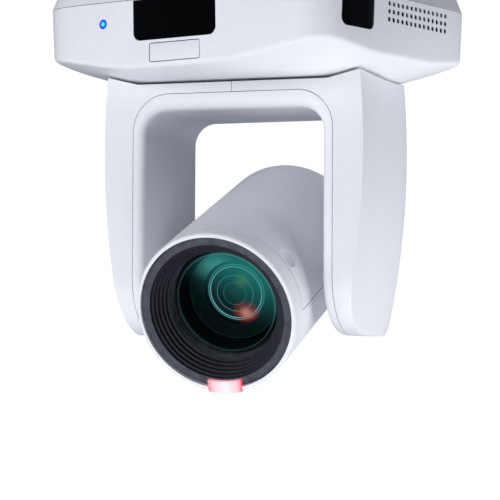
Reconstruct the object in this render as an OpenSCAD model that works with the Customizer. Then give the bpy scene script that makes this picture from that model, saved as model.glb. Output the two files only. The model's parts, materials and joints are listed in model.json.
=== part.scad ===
// Pan-tilt-zoom camera hanging from a ceiling: base on top, yoke below it, camera head in the yoke.
// Millimetres, +Z up. The origin is the mouth of the tripod socket, on the pan axis, in the mounting face.
// The base faces -Y. Names that end in _drop are distances down from the mounting face.

/* [Base] */
// Width of the base across its side faces
base_w = 181; // [160:1:216]
// Depth of the base from front face to back face
base_d = 146.4; // [132:0.2:176]
// Squareness of the base outline, higher is squarer
corner_power = 8; // [5:1:12]
// Wall of the moulded base shell
shell_wall = 2.5; // [2:0.1:3.2]
// Depth at which the top cover meets the base shell
seam_drop = 15.6; // [14:0.1:17]
// Depth of the flat middle of the underside
floor_drop = 54.1; // [50:0.1:65]
// Radius of the flat middle of the underside
flat_r = 64; // [60:0.5:67]
// Rise of the underside for each millimetre outwards
underside_slope = 0.288; // [0.26:0.001:0.31]
// How far the top cover draws in at the mounting face
cover_draw = 6; // [3:0.5:8]

/* [Front and side trim] */
// Width of the front window
front_window_w = 51; // [40:0.5:60]
// Depth of the bottom edge of the front window
front_window_bottom = 36.2; // [32:0.1:36.5]
// Width of the blank name plate
badge_w = 31; // [24:0.5:40]
// Height of the blank name plate
badge_h = 9; // [6:0.5:9.5]
// Width of each side window
side_window_w = 27; // [20:0.5:30]
// Number of vent columns on each side
vent_columns = 14; // [8:1:14]
// Number of vent rows on each side
vent_rows = 3; // [2:1:3]
// Side of one square vent hole
vent_size = 2.3; // [1.6:0.1:2.6]

/* [Yoke] */
// Height from the mounting face to the ends of the arms
total_h = 184; // [180:1:220]
// Depth of the yoke from front to back
yoke_d = 76.4; // [72:0.2:92]
// Half of the greatest width across the arms
yoke_half_w = 71.4; // [70.5:0.1:86]
// Half of the clear gap between the arms
gap_half = 48.3; // [47.8:0.1:48.6]
// Width of the liner's front face
liner_face = 5.6; // [5:0.1:6]
// Wall of the yoke covers and liners
yoke_wall = 2.2; // [1.8:0.1:2.4]
// Depth of the underside of the arch
arch_drop = 69.3; // [69:0.1:71]
// Radius of the inside corners of the arch
arch_r = 12; // [8:0.5:16]
// Radius of the front corners of the arm ends, seen from the side
arm_end_r = 30; // [22:0.5:34]
// Radius of the rear corners of the arm ends, seen from the side
arm_end_back_r = 9.5; // [6:0.5:20]
// Air gap between the base and the yoke
pan_gap = 1.3; // [1:0.1:2]

/* [Head] */
// Depth of the tilt axis
pivot_drop = 150.5; // [148:0.5:152]
// Distance from the tilt axis to the front of the lens ring
lens_reach = 62.5; // [58:0.5:66]
// Outer radius of the head at its front
head_r = 42; // [41.5:0.1:42.6]
// Outer radius of the head at its back
head_back_r = 40; // [38.5:0.1:41]
// Distance from the tilt axis to where the back starts to round off
head_back = 56; // [50:0.5:58]
// Wall of the head shells
head_wall = 2.2; // [1.8:0.1:2.4]
// Radius of the front lens
glass_r = 26.8; // [25:0.1:26.9]
// Number of steps inside the lens ring
ring_steps = 5; // [3:1:5]

/* [Drives] */
// Radius of the hollow pan spindle
spindle_r = 20; // [18:0.5:21]
// Teeth on the pan pulley
pan_teeth = 90; // [60:1:92]
// Teeth on the pan motor's pulley
pan_motor_teeth = 24; // [18:1:26]
// Teeth on the tilt pulley
tilt_teeth = 40; // [30:1:42]
// Teeth on the tilt motor's pulley
tilt_motor_teeth = 20; // [16:1:22]
// Radius of the tilt shafts
tilt_shaft_r = 6; // [5:0.5:6.5]

/* [Resting pose] */
// Angle that the yoke is panned to, from straight ahead
pan_rest = 15; // [-90:1:90]
// Angle that the lens points down from level
tilt_rest = 21.5; // [-30:0.5:90]

/* [Mounting] */
// Wall radius of the tripod socket in its plate
tripod_r = 3.0; // [2.5:0.05:3.2]
// Distance between the ceiling screws along X
ceiling_x = 70; // [50:1:80]
// Distance between the ceiling screws along Y
ceiling_y = 50; // [40:1:60]
// Radius of each ceiling screw hole
ceiling_hole_r = 2.1; // [1.6:0.05:2.5]

/* [Hidden] */
$fn = 64;
seam_gap = 0.3;          // dark line between two mouldings of one body
fit_gap = 0.05;          // radial clearance of a running fit
air = 0.4;               // clearance between neighbours that only pass each other
cut = 1;                 // how far a cutting tool runs past the face it cuts
base_a = base_w / 2;
base_b = base_d / 2;
outline_points = 96;
belt_pitch = 2;          // tooth pitch of both timing belts
belt_t = 1.1;
belt_gap = 0.3;          // between a belt and the tips of the teeth
arc_steps = 32;
seam_half = gap_half + liner_face;
seam_arch_drop = arch_drop - 8.5;
seam_arch_r = arch_r + 7;
yoke_half_d = yoke_d / 2;
yoke_bulge_r = 420;      // radius of the bowed outer side of an arm
yoke_widest_drop = 89;
yoke_top_drop = floor_drop + pan_gap;
liner_split = 8.8;       // Y at which the front and rear liners meet
plate_t = 3;             // mount plate
plate_w = 112;
plate_d = 86;
plate_screw_x = plate_w / 2 - 6;
plate_screw_y = plate_d / 2 - 5;
chassis_t = 2.5;
chassis_drop = 44;       // underside of the base chassis
chassis_w = 140;
chassis_d = 104;
post_r = 4.5;
post_x = chassis_w / 2 - 6;
post_y = chassis_d / 2 - 8;
shell_boss_x = 60;
shell_boss_y = 20;
cover_post_x = base_a - 14.5;
cover_post_y = base_b - 14.5;
screw_r = 1.5;
screw_head_r = 2.8;
screw_head_h = 1.8;
bearing_r = spindle_r + 6;
bearing_h = 7;
housing_wall = 4;
pan_pulley_r = pan_teeth * belt_pitch / (2 * PI);
pan_motor_pulley_r = pan_motor_teeth * belt_pitch / (2 * PI);
pan_motor_side = 35;
pan_motor_y = -(bearing_r + housing_wall + pan_motor_side / 2 + 0.8);
pan_motor_h = 24;
pulley_h = 5;
pan_pulley_drop = chassis_drop + 1 + pulley_h;   // underside of the pan pulleys
pan_shaft_r = 2.5;
board_drop = 14;         // underside of the main board
board_t = 1.6;
board_w = 140;
board_d = 96;
heat_sink_x = 30;
socket_y = base_b - 12.2; // outer face of the socket plate
io_board_drop = chassis_drop - chassis_t - board_t;   // top of the socket board
panel_half_w = 60;
panel_top = 19;
panel_bottom = io_board_drop + 1.6;
panel_wall = 1.2;
power_x = -49;
network_x = -30;
hdmi_x = -9;
usb_x = 9;
sdi_x = 24.5;
serial_x = 39;
audio_x = 51.5;
power_z = 5.5;
sdi_z = 9;
serial_z = 6.5;
audio_z = 4.5;
window_r = 4;
side_window_y = -41.8;
side_window_bottom = 34.2;
badge_drop = 42.8;
led_x = -45.2;
led_drop = 26.3;
led_r = 2.25;
vent_y = -14.3;
vent_pitch_y = 4.16;
vent_pitch_z = 3.95;
vent_drop = 19.3;
trim_t = 1.4;            // thickness of windows
fan_side = 30;
fan_t = 8;
fan_x = base_a - shell_wall - cover_draw - 1 - fan_t;
fan_y = 13;
fan_drop = 24;
frame_t = 2;             // yoke frame
frame_x = gap_half + yoke_wall + 0.6;            // inner face of the frame's arms
frame_half_d = 20;
frame_top_drop = arch_drop - yoke_wall - frame_t - 0.6;   // top face of the yoke frame's crossbar
spindle_top_drop = chassis_drop - bearing_h - 6;
frame_end_drop = pivot_drop + 15;
tilt_bearing_r = tilt_shaft_r + 4.5;
tilt_bearing_h = 4;
tilt_boss_r = tilt_bearing_r + 3;
tilt_motor_drop = pivot_drop - 46;
tilt_motor_r = 17.5;
tilt_motor_t = 6.2;
tilt_belt_x = frame_x + frame_t + tilt_bearing_h + 0.3;  // inner side of the tilt pulleys
tilt_belt_w = 3.4;
tilt_motor_x = tilt_belt_x + tilt_belt_w + 0.5;          // inner face of the tilt motor
tilt_post_r = 14;
tilt_pulley_r = tilt_teeth * belt_pitch / (2 * PI);
tilt_motor_pulley_r = tilt_motor_teeth * belt_pitch / (2 * PI);
hub_r = 15;
hub_x = gap_half - 0.8;
head_rim = 1.5;          // how far the white rim stands in front of the lens ring
collar_back = lens_reach - 10.5;
split_y = -3;            // height of the joint between the head shells, from the lens axis
taper_start = 37;        // how far in front of the tilt axis the barrel starts to narrow
back_round = 13;         // radius of the rounded edge round the back
ring_r = head_r - 2.3;
ring_face = 4.3;
step_in = 1.35;
step_back = 2;
tunnel_r = ring_r - ring_face - ring_steps * step_in;
tunnel_end = lens_reach - 19;
barrel_r = 29;
barrel_bore = 26.95;
barrel_back = -28;
hub_in_x = 32.3;         // inner end of each hub
tally_w = 18;
tally_in_r = head_r - 5.6;
tally_out_r = head_r + 0.6;
dimple_z = 45;
dimple_angle = 33;
dimple_r = 5.5;
dimple_bore = 4.3;       // radius of the deep part of each screw recess
dimple_depth = 4;
dimple_floor_t = 1.8;
lug_w = 7;
lug_t = 4.5;
lug_reach = collar_back + 2 - dimple_z;          // from the screw forward into the ring
group_r = 23.5;
lens_motor_r = 3.6;

white = [0.93, 0.93, 0.95];
black = [0.06, 0.06, 0.07];
metal = [0.7, 0.71, 0.73];
board_green = [0.1, 0.35, 0.2];
brass = [0.8, 0.65, 0.3];

// ---- shapes used by several parts ----

// Rounded, slightly bowed rectangle: a superellipse
function squircle(a, b, power) = [
    for (i = [0 : outline_points - 1])
        let (t = 360 * (i + 0.5) / outline_points)
        [a * sign(cos(t)) * pow(abs(cos(t)), 2 / power), b * sign(sin(t)) * pow(abs(sin(t)), 2 / power)]
];

module base_outline(inset) {
    polygon(squircle(base_a - inset, base_b - inset, corner_power));
}

// Height of the underside at radius r
function underside(r) = -floor_drop + max(0, r - flat_r) * underside_slope;

// Everything above the underside cone, raised by lift
module above_underside(lift) {
    far_r = base_w;
    rotate_extrude($fn = 96)
        polygon([[0, cut], [0, underside(0) + lift], [flat_r, underside(flat_r) + lift],
            [far_r, underside(far_r) + lift], [far_r, cut]]);
}

// Everything below the underside cone, lowered by drop
module below_underside(drop) {
    far_r = base_w;
    rotate_extrude($fn = 96)
        polygon([[0, -total_h - cut], [0, underside(0) - drop], [flat_r, underside(flat_r) - drop],
            [far_r, underside(far_r) - drop], [far_r, -total_h - cut]]);
}

module base_solid() {
    intersection() {
        translate([0, 0, -floor_drop - cut])
            linear_extrude(height = floor_drop + cut - seam_drop)
                base_outline(0);
        above_underside(0);
    }
}

module rounded_plate(w, d, h, r) {
    translate([-w / 2 + r, -d / 2, 0])
        cube([w - 2 * r, d, h]);
    translate([-w / 2, -d / 2 + r, 0])
        cube([w, d - 2 * r, h]);
    for (x = [-1, 1], y = [-1, 1])
        translate([x * (w / 2 - r), y * (d / 2 - r), 0])
            cylinder(r = r, h = h, $fn = 32);
}

// A slice of the base's outer wall, from depth a to depth b below the surface, where children() cuts it
module wall_slice(a, b) {
    intersection() {
        difference() {
            translate([0, 0, -floor_drop])
                linear_extrude(height = floor_drop)
                    base_outline(a);
            translate([0, 0, -floor_drop - cut])
                linear_extrude(height = floor_drop + 2 * cut)
                    base_outline(b);
        }
        children();
    }
}

// Upright outline of a window with its lower corners rounded, as wide as w and down to depth bottom
module window_outline(w, bottom, grow) {
    half = w / 2 + grow;
    low = -bottom - grow;
    top = grow > 0 ? cut - seam_drop : -seam_drop - seam_gap;
    translate([-half, low + window_r])
        square([2 * half, top - low - window_r]);
    translate([-half + window_r, low])
        square([2 * half - 2 * window_r, window_r + cut]);
    for (s = [-1, 1])
        translate([s * (half - window_r), low + window_r])
            circle(r = window_r);
}

module front_window_tool(grow) {
    translate([0, -base_b + 6, 0])
        rotate([90, 0, 0])
            linear_extrude(height = 12)
                window_outline(front_window_w, front_window_bottom, grow);
}

// Window tool for one side: side = 1 for +X and -1 for -X
module side_window_tool(side, grow) {
    translate([side * (base_a - 4), side_window_y, 0])
        rotate([90, 0, 90])
            linear_extrude(height = 14, center = true)
                window_outline(side_window_w, side_window_bottom, grow);
}

module vent_holes(side) {
    for (i = [0 : vent_columns - 1], j = [0 : vent_rows - 1])
        translate([side * base_a - 5, vent_y + i * vent_pitch_y - vent_size / 2,
            -vent_drop - j * vent_pitch_z - vent_size / 2])
            cube([10, vent_size, vent_size]);
}

// Toothed pulley with square teeth and two flanges of height flange
module pulley(r, teeth, h, bore) {
    tooth = 0.5;
    flange = 0.6;
    difference() {
        union() {
            cylinder(r = r - tooth, h = h);
            cylinder(r = r + 0.8, h = flange);
            translate([0, 0, h - flange])
                cylinder(r = r + 0.8, h = flange);
            for (i = [0 : teeth - 1])
                rotate([0, 0, 360 * i / teeth])
                    translate([r - 2 * tooth, -tooth / 2, 0])
                        cube([2 * tooth, tooth, h]);
        }
        translate([0, 0, -cut])
            cylinder(r = bore, h = h + 2 * cut);
    }
}

// Points along an arc, from angle a to angle b
function arc(x, y, r, a, b) = [
    for (i = [0 : arc_steps])
        let (t = a + (b - a) * i / arc_steps)
        [x + r * cos(t), y + r * sin(t)]
];

// Taut loop round a circle at the origin and a smaller one d along +X
function loop_round(r1, r2, d) =
    let (touch = acos((r1 - r2) / d))
    concat(arc(0, 0, r1, touch, 360 - touch), arc(d, 0, r2, -touch, touch));

// Belt round a pulley at the origin and a smaller one d along +X
module belt(r1, r2, d, h) {
    linear_extrude(height = h)
        difference() {
            polygon(loop_round(r1 + belt_gap + belt_t, r2 + belt_gap + belt_t, d));
            polygon(loop_round(r1 + belt_gap, r2 + belt_gap, d));
        }
}

module ball_bearing(r_in, r_out, h) {
    difference() {
        cylinder(r = r_out, h = h);
        translate([0, 0, -cut])
            cylinder(r = r_in, h = h + 2 * cut);
        for (z = [-1, h - 0.6])
            translate([0, 0, z])
                difference() {
                    cylinder(r = r_in + 0.72 * (r_out - r_in), h = 1.6);
                    translate([0, 0, -cut])
                        cylinder(r = r_in + 0.28 * (r_out - r_in), h = 1.6 + 2 * cut);
                }
    }
}

// Pan-head screw that points down, with the underside of its head at z = 0
module screw(length) {
    difference() {
        union() {
            cylinder(r = screw_head_r, h = screw_head_h, $fn = 32);
            translate([0, 0, -length])
                cylinder(r = screw_r, h = length, $fn = 32);
        }
        for (a = [0, 90])
            rotate([0, 0, a])
                translate([-1.6, -0.3, screw_head_h - 0.9])
                    cube([3.2, 0.6, 2]);
    }
}

module corners(x, y) {
    for (sx = [-1, 1], sy = [-1, 1])
        translate([sx * x, sy * y, 0])
            children();
}

module in_yoke() {
    rotate([0, 0, pan_rest])
        children();
}

// Lens frame: +Z along the lens axis, +X along the tilt axis, +Y up, origin on the tilt axis
module in_head() {
    in_yoke()
        translate([0, 0, -pivot_drop])
            rotate([90 + tilt_rest, 0, 0])
                children();
}

// Cylinder along +X that starts at x
module x_cylinder(x, r, length) {
    translate([x, 0, 0])
        rotate([0, 90, 0])
            cylinder(r = r, h = length);
}

// ---- base ----

module ceiling_cover() {
    color(white)
        difference() {
            translate([0, 0, -seam_drop + seam_gap])
                linear_extrude(height = seam_drop - seam_gap, slices = 1,
                    scale = [1 - cover_draw / base_a, 1 - cover_draw / base_b])
                    base_outline(0);
            translate([0, 0, -seam_drop])
                linear_extrude(height = seam_drop - shell_wall)
                    base_outline(shell_wall + cover_draw);
            translate([0, 0, -shell_wall - cut])
                rounded_plate(plate_w + 2 * air, plate_d + 2 * air, shell_wall + 2 * cut, 6 + air);
            corners(cover_post_x, cover_post_y) {
                translate([0, 0, -seam_drop])
                    cylinder(r = screw_r + 0.3, h = seam_drop + cut, $fn = 32);
                translate([0, 0, -6])
                    cylinder(r = screw_head_r + 0.5, h = 6 + cut, $fn = 32);
            }
        }
}

module mount_plate() {
    color(metal)
        translate([0, 0, -plate_t])
            difference() {
                rounded_plate(plate_w, plate_d, plate_t, 6);
                translate([0, 0, -cut])
                    cylinder(r = tripod_r + 2.5, h = plate_t + 2 * cut);
                corners(ceiling_x / 2, ceiling_y / 2)
                    translate([0, 0, -cut])
                        cylinder(r = ceiling_hole_r, h = plate_t + 2 * cut);
                corners(plate_screw_x, plate_screw_y) {
                    translate([0, 0, -cut])
                        cylinder(r = screw_r + 0.2, h = plate_t + 2 * cut, $fn = 32);
                    translate([0, 0, plate_t - screw_head_h - 0.1])
                        cylinder(r = screw_head_r + 0.3, h = screw_head_h + cut, $fn = 32);
                }
            }
}

module tripod_bushing() {
    color(brass)
        difference() {
            union() {
                translate([0, 0, -plate_t])
                    cylinder(r = tripod_r + 2.5, h = plate_t);
                translate([0, 0, -9])
                    cylinder(r = tripod_r + 4, h = 9 - plate_t);
            }
            translate([0, 0, -8])
                cylinder(r = tripod_r, h = 8 + cut);
        }
}

module base_shell() {
    boss_top = -chassis_drop;
    color(white)
        difference() {
            union() {
                difference() {
                    base_solid();
                    difference() {
                        translate([0, 0, -floor_drop - cut])
                            linear_extrude(height = floor_drop + cut)
                                base_outline(shell_wall);
                        below_underside(-shell_wall);
                    }
                }
                intersection() {
                    above_underside(shell_wall / 2);
                    union() {
                        corners(shell_boss_x, shell_boss_y)
                            translate([0, 0, -floor_drop])
                                cylinder(r = 3.6, h = floor_drop + boss_top, $fn = 32);
                        corners(cover_post_x, cover_post_y)
                            translate([0, 0, -floor_drop])
                                cylinder(r = 4, h = floor_drop - seam_drop, $fn = 32);
                    }
                }
            }
            translate([0, 0, -floor_drop - cut])
                cylinder(r = spindle_r + 7, h = 10);
            wall_slice(-cut, shell_wall + cut) {
                front_window_tool(air / 2);
            }
            for (side = [-1, 1]) {
                wall_slice(-cut, shell_wall + cut)
                    side_window_tool(side, air / 2);
                vent_holes(side);
            }
            translate([-badge_w / 2 - air / 2, -base_b - cut, -badge_drop - badge_h / 2 - air / 2])
                cube([badge_w + air, cut + 1.1, badge_h + air]);
            translate([led_x, -base_b + 5, -led_drop])
                rotate([90, 0, 0])
                    cylinder(r = led_r + 0.15, h = 10);
            translate([-panel_half_w - air, base_b - 8, -panel_bottom - air])
                cube([2 * panel_half_w + 2 * air, 12, panel_bottom - panel_top + 2 * air]);
            corners(shell_boss_x, shell_boss_y)
                translate([0, 0, boss_top - 6])
                    cylinder(r = screw_r + 0.05, h = 6 + cut, $fn = 32);
            corners(cover_post_x, cover_post_y)
                translate([0, 0, -seam_drop - 10])
                    cylinder(r = screw_r + 0.05, h = 10 + cut, $fn = 32);
        }
}

module front_window() {
    color(black)
        wall_slice(0.2, 0.2 + trim_t)
            front_window_tool(0);
}

module left_side_window() {
    color(black)
        wall_slice(0.2, 0.2 + trim_t)
            side_window_tool(-1, 0);
}

module right_side_window() {
    color(black)
        wall_slice(0.2, 0.2 + trim_t)
            side_window_tool(1, 0);
}

module name_plate() {
    color(white)
        translate([-badge_w / 2, -base_b + 0.1, -badge_drop - badge_h / 2])
            cube([badge_w, 0.9, badge_h]);
}

module status_led() {
    color([0.1, 0.4, 1])
        translate([led_x, -base_b + 5, -led_drop])
            rotate([90, 0, 0]) {
                cylinder(r = led_r, h = 5.2);
                translate([0, 0, -1.2])
                    cylinder(r = led_r + 0.6, h = 1.2);
            }
}

module base_chassis() {
    housing_h = bearing_h + 1.5;
    color(metal)
        difference() {
            union() {
                translate([0, 0, -chassis_drop])
                    rounded_plate(chassis_w, chassis_d, chassis_t, 8);
                translate([0, 0, -chassis_drop])
                    cylinder(r = bearing_r + housing_wall, h = housing_h);
                translate([-pan_motor_side / 2, pan_motor_y - pan_motor_side / 2, -chassis_drop])
                    cube([pan_motor_side, pan_motor_side, chassis_t]);
                corners(post_x, post_y)
                    translate([0, 0, -chassis_drop])
                        cylinder(r = post_r, h = chassis_drop - board_drop, $fn = 32);
                corners(plate_screw_x, plate_screw_y)
                    translate([0, 0, -chassis_drop])
                        cylinder(r = 3.2, h = chassis_drop - plate_t, $fn = 32);
            }
            translate([0, 0, -chassis_drop - cut])
                cylinder(r = bearing_r - 1.5, h = housing_h + 2 * cut);
            translate([0, 0, -chassis_drop + 1.5])
                cylinder(r = bearing_r, h = housing_h + cut);
            translate([0, pan_motor_y, -chassis_drop - cut])
                cylinder(r = 6, h = chassis_t + 2 * cut);
            corners(shell_boss_x, shell_boss_y)
                translate([0, 0, -chassis_drop - cut])
                    cylinder(r = screw_r + 0.2, h = chassis_t + 2 * cut, $fn = 32);
            corners(plate_screw_x, plate_screw_y)
                translate([0, 0, -plate_t - 8])
                    cylinder(r = screw_r + 0.05, h = 8 + cut, $fn = 32);
            corners(post_x, post_y)
                translate([0, 0, -board_drop - 6])
                    cylinder(r = screw_r + 0.05, h = 6 + cut, $fn = 32);
        }
}

module main_board() {
    color(board_green)
        difference() {
            union() {
                translate([0, 0, -board_drop])
                    rounded_plate(board_w, board_d, board_t, 3);
                for (x = [-46, 30])
                    translate([x, -34, -board_drop + board_t])
                        cube([16, 14, 2.2]);
                translate([-20, 26, -board_drop + board_t])
                    cube([46, 6, 3.4]);
            }
            corners(post_x, post_y)
                translate([0, 0, -board_drop - cut])
                    cylinder(r = screw_r + 0.2, h = board_t + 2 * cut, $fn = 32);
            corners(plate_screw_x, plate_screw_y)
                translate([0, 0, -board_drop - cut])
                    cylinder(r = 3.8, h = board_t + 2 * cut, $fn = 32);
        }
}

module heat_sink() {
    fins = 9;
    side = 34;
    low = board_drop - board_t;
    color(metal)
        translate([heat_sink_x - side / 2, -side / 2 - 2, -low]) {
            cube([side, side, 2]);
            for (i = [0 : fins - 1])
                if (i != (fins - 1) / 2)
                    translate([i * (side - 1.2) / (fins - 1), 0, 0])
                        cube([1.2, side, low - plate_t - 0.8]);
        }
}

module socket_board() {
    color(board_green)
        translate([-panel_half_w + 3, plate_screw_y + 5, -io_board_drop - board_t])
            cube([2 * panel_half_w - 6, socket_y - panel_wall - plate_screw_y - 6, board_t]);
}

// Bent tray: the upright plate that the sockets look out of, and the flanges that frame it
module socket_plate() {
    depth = base_b - shell_wall - socket_y;
    color([0.2, 0.2, 0.22])
        difference() {
            translate([-panel_half_w, socket_y - panel_wall, -panel_bottom])
                cube([2 * panel_half_w, depth + panel_wall, panel_bottom - panel_top]);
            translate([-panel_half_w + panel_wall, socket_y, -panel_bottom + panel_wall])
                cube([2 * panel_half_w - 2 * panel_wall, depth + cut,
                    panel_bottom - panel_top - 2 * panel_wall]);
            socket_at(power_x)
                y_cylinder(power_z, 4.6, 4);
            socket_at(network_x)
                socket_block(16.4, 14, 4);
            socket_at(hdmi_x)
                socket_block(15.8, 6.6, 4);
            socket_at(usb_x)
                socket_block(14.4, 7.2, 4);
            socket_at(sdi_x)
                y_cylinder(sdi_z, 5.6, 4);
            socket_at(serial_x)
                y_cylinder(serial_z, 5.2, 4);
            socket_at(audio_x)
                y_cylinder(audio_z, 3.4, 4);
        }
}

// Sockets stand on the socket board; y = 0 is the outer face of the socket plate
module socket_at(x) {
    translate([x, socket_y, -io_board_drop])
        children();
}

module socket_block(w, h, front) {
    translate([-w / 2, -panel_wall - cut, -0.2])
        cube([w, panel_wall + cut + front, h + 0.2]);
}

module y_cylinder(z, r, front) {
    translate([0, front, z])
        rotate([90, 0, 0])
            cylinder(r = r, h = front + panel_wall + cut);
}

module y_tube(z, r, bore, front, length, depth) {
    translate([0, front, z])
        rotate([90, 0, 0])
            difference() {
                cylinder(r = r, h = length);
                translate([0, 0, -cut])
                    cylinder(r = bore, h = depth + cut);
            }
}

module power_socket() {
    color(black)
        socket_at(power_x) {
            y_tube(power_z, 4.4, 2.9, 0.5, 8, 7);
            translate([0, -6.8, power_z])
                rotate([90, 0, 0])
                    translate([0, 0, -6.5])
                        cylinder(r = 1, h = 6.5, $fn = 24);
            translate([-4.6, -12, 0])
                cube([9.2, 4.5, power_z + 4.6]);
        }
}

module network_socket() {
    color(metal)
        socket_at(network_x)
            difference() {
                translate([-8, -15, 0])
                    cube([16, 15.4, 13.6]);
                translate([-5.9, -11, 2.4])
                    cube([11.8, 12, 7]);
                translate([-3, -11, 9.3])
                    cube([6, 12, 1.8]);
            }
}

module hdmi_socket() {
    color(metal)
        socket_at(hdmi_x) {
            difference() {
                translate([-7.6, -11, 0])
                    cube([15.2, 11.4, 6.2]);
                translate([-7, -9, 0.8])
                    cube([14, 10, 4.6]);
            }
            translate([-5.4, -9.2, 2.6])
                cube([10.8, 7, 1]);
        }
}

module usb_socket() {
    color(metal)
        socket_at(usb_x) {
            difference() {
                translate([-6.9, -13, 0])
                    cube([13.8, 13.4, 6.8]);
                translate([-6.25, -11, 0.8])
                    cube([12.5, 12, 5.2]);
            }
            translate([-5.6, -11.2, 3.8])
                cube([11.2, 9, 1.8]);
        }
}

module sdi_socket() {
    color(metal)
        socket_at(sdi_x) {
            y_tube(sdi_z, 4.8, 3.9, 10.5, 17, 9);
            y_cylinder_from(sdi_z, 1.2, 6, 8);
            for (a = [-1, 1])
                translate([a * 4.6 - 0.9, 6.4, sdi_z - 0.9])
                    cube([1.8, 1.8, 1.8]);
            translate([-6.5, -14, 0])
                cube([13, 7.5, 15]);
        }
}

module y_cylinder_from(z, r, front, length) {
    translate([0, front, z])
        rotate([90, 0, 0])
            cylinder(r = r, h = length, $fn = 24);
}

module serial_socket() {
    color(black)
        socket_at(serial_x) {
            y_tube(serial_z, 4.9, 4.1, 0.5, 10, 7);
            for (a = [0 : 45 : 315])
                translate([2.4 * cos(a), 0, 2.4 * sin(a)])
                    y_cylinder_from(serial_z, 0.4, -1.5, 6);
        }
}

module audio_socket() {
    color(black)
        socket_at(audio_x) {
            y_tube(audio_z, 3.2, 1.8, 0.8, 9, 8);
            translate([-3.6, -13, 0])
                cube([7.2, 5.4, audio_z + 3.6]);
        }
}

module fan_frame() {
    color(black)
        translate([fan_x, fan_y, -fan_drop])
            difference() {
                translate([0, -fan_side / 2, -fan_side / 2 + 1])
                    cube([fan_t, fan_side, fan_side - 2]);
                x_cylinder(1.2, 12.8, fan_t);
                for (a = [45 : 90 : 315])
                    rotate([a, 0, 0])
                        translate([-cut, -2, 5])
                            cube([4, 4, 7.2]);
                x_cylinder(-cut, 2.1, 4);
            }
}

module fan_rotor() {
    blades = 7;
    color([0.12, 0.12, 0.13])
        translate([fan_x, fan_y, -fan_drop]) {
            x_cylinder(1.7, 5.6, fan_t - 2.4);
            x_cylinder(-0.6, 2, 3);
            for (i = [0 : blades - 1])
                rotate([360 * i / blades, 0, 0])
                    translate([fan_t / 2 + 0.4, 0, 5])
                        rotate([0, 0, 38])
                            translate([-0.5, -2.6, 0])
                                cube([1, 5.2, 7]);
        }
}

module pan_motor() {
    side = pan_motor_side;
    color(black)
        translate([0, pan_motor_y, -chassis_drop + chassis_t])
            difference() {
                intersection() {
                    translate([-side / 2, -side / 2, 0])
                        cube([side, side, pan_motor_h]);
                    cylinder(r = side * 0.64, h = pan_motor_h);
                }
                translate([0, 0, -cut])
                    cylinder(r = pan_shaft_r + fit_gap, h = pan_motor_h - 4 + cut);
            }
}

module pan_motor_pulley() {
    color(metal) {
        translate([0, pan_motor_y, -pan_pulley_drop])
            pulley(pan_motor_pulley_r, pan_motor_teeth, pulley_h, pan_shaft_r - 0.5);
        translate([0, pan_motor_y, -pan_pulley_drop])
            cylinder(r = pan_shaft_r, h = pulley_h + 1 + chassis_t + pan_motor_h - 5);
    }
}

module pan_belt() {
    color(black)
        translate([0, 0, -pan_pulley_drop + 1])
            rotate([0, 0, -90])
                belt(pan_pulley_r, pan_motor_pulley_r, -pan_motor_y, pulley_h - 2);
}

module pan_bearing() {
    color(metal)
        translate([0, 0, -chassis_drop + 1.5])
            ball_bearing(spindle_r + fit_gap, bearing_r, bearing_h);
}

module base_screws() {
    color(metal) {
        corners(shell_boss_x, shell_boss_y)
            translate([0, 0, -chassis_drop + chassis_t])
                screw(7);
        corners(post_x, post_y)
            translate([0, 0, -board_drop + board_t])
                screw(6);
    }
}

module cover_screws() {
    color(metal)
        corners(cover_post_x, cover_post_y)
            translate([0, 0, -6])
                screw(18);
}

module plate_screws() {
    color(metal)
        corners(plate_screw_x, plate_screw_y)
            translate([0, 0, -screw_head_h - 0.1])
                screw(8);
}

// ---- yoke ----

// Front view of the yoke, in X and Z
module yoke_front_profile(inset) {
    intersection() {
        yoke_side_circle(1, inset);
        yoke_side_circle(-1, inset);
        translate([-yoke_half_w, -total_h + inset])
            square([2 * yoke_half_w, total_h]);
    }
}

// Bowed outline of the outer face of one arm
module yoke_side_circle(side, inset) {
    translate([side * (yoke_half_w - yoke_bulge_r), -yoke_widest_drop])
        circle(r = yoke_bulge_r - inset, $fn = 128);
}

// Side view of the yoke, in Y and Z
module yoke_side_profile(inset) {
    d = yoke_half_d - inset;
    front_r = arm_end_r - inset;
    back_r = arm_end_back_r - inset;
    low = -total_h + inset;
    polygon(concat(
        arc(front_r - d, low + front_r, front_r, 180, 270),
        arc(d - back_r, low + back_r, back_r, 270, 360),
        [[d, 0], [-d, 0]]));
}

module yoke_envelope(inset) {
    intersection() {
        rotate([90, 0, 0])
            linear_extrude(height = 2 * yoke_d, center = true)
                yoke_front_profile(inset);
        rotate([90, 0, 90])
            linear_extrude(height = 2 * yoke_half_w + 10, center = true)
                yoke_side_profile(inset);
        below_underside(pan_gap + inset);
    }
}

// Arch-shaped prism through the yoke: flat sides at half, rounded at the top
module arch(half, top_drop, r) {
    rotate([90, 0, 0])
        linear_extrude(height = 2 * yoke_d, center = true) {
            translate([-half, -total_h - cut])
                square([2 * half, total_h + cut - top_drop - r]);
            translate([-half + r, -top_drop - r - cut])
                square([2 * (half - r), r + cut]);
            for (s = [-1, 1])
                translate([s * (half - r), -top_drop - r])
                    circle(r = r);
        }
}

module tilt_hole(r) {
    translate([0, 0, -pivot_drop])
        x_cylinder(-yoke_half_w, r, 2 * yoke_half_w);
}

module arch_liner() {
    difference() {
        intersection() {
            yoke_envelope(0);
            arch(seam_half, seam_arch_drop, seam_arch_r);
        }
        arch(gap_half, arch_drop, arch_r);
        difference() {
            yoke_envelope(yoke_wall);
            arch(gap_half + yoke_wall, arch_drop - yoke_wall, arch_r + yoke_wall);
        }
        tilt_hole(tilt_shaft_r + 2);
    }
}

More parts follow.
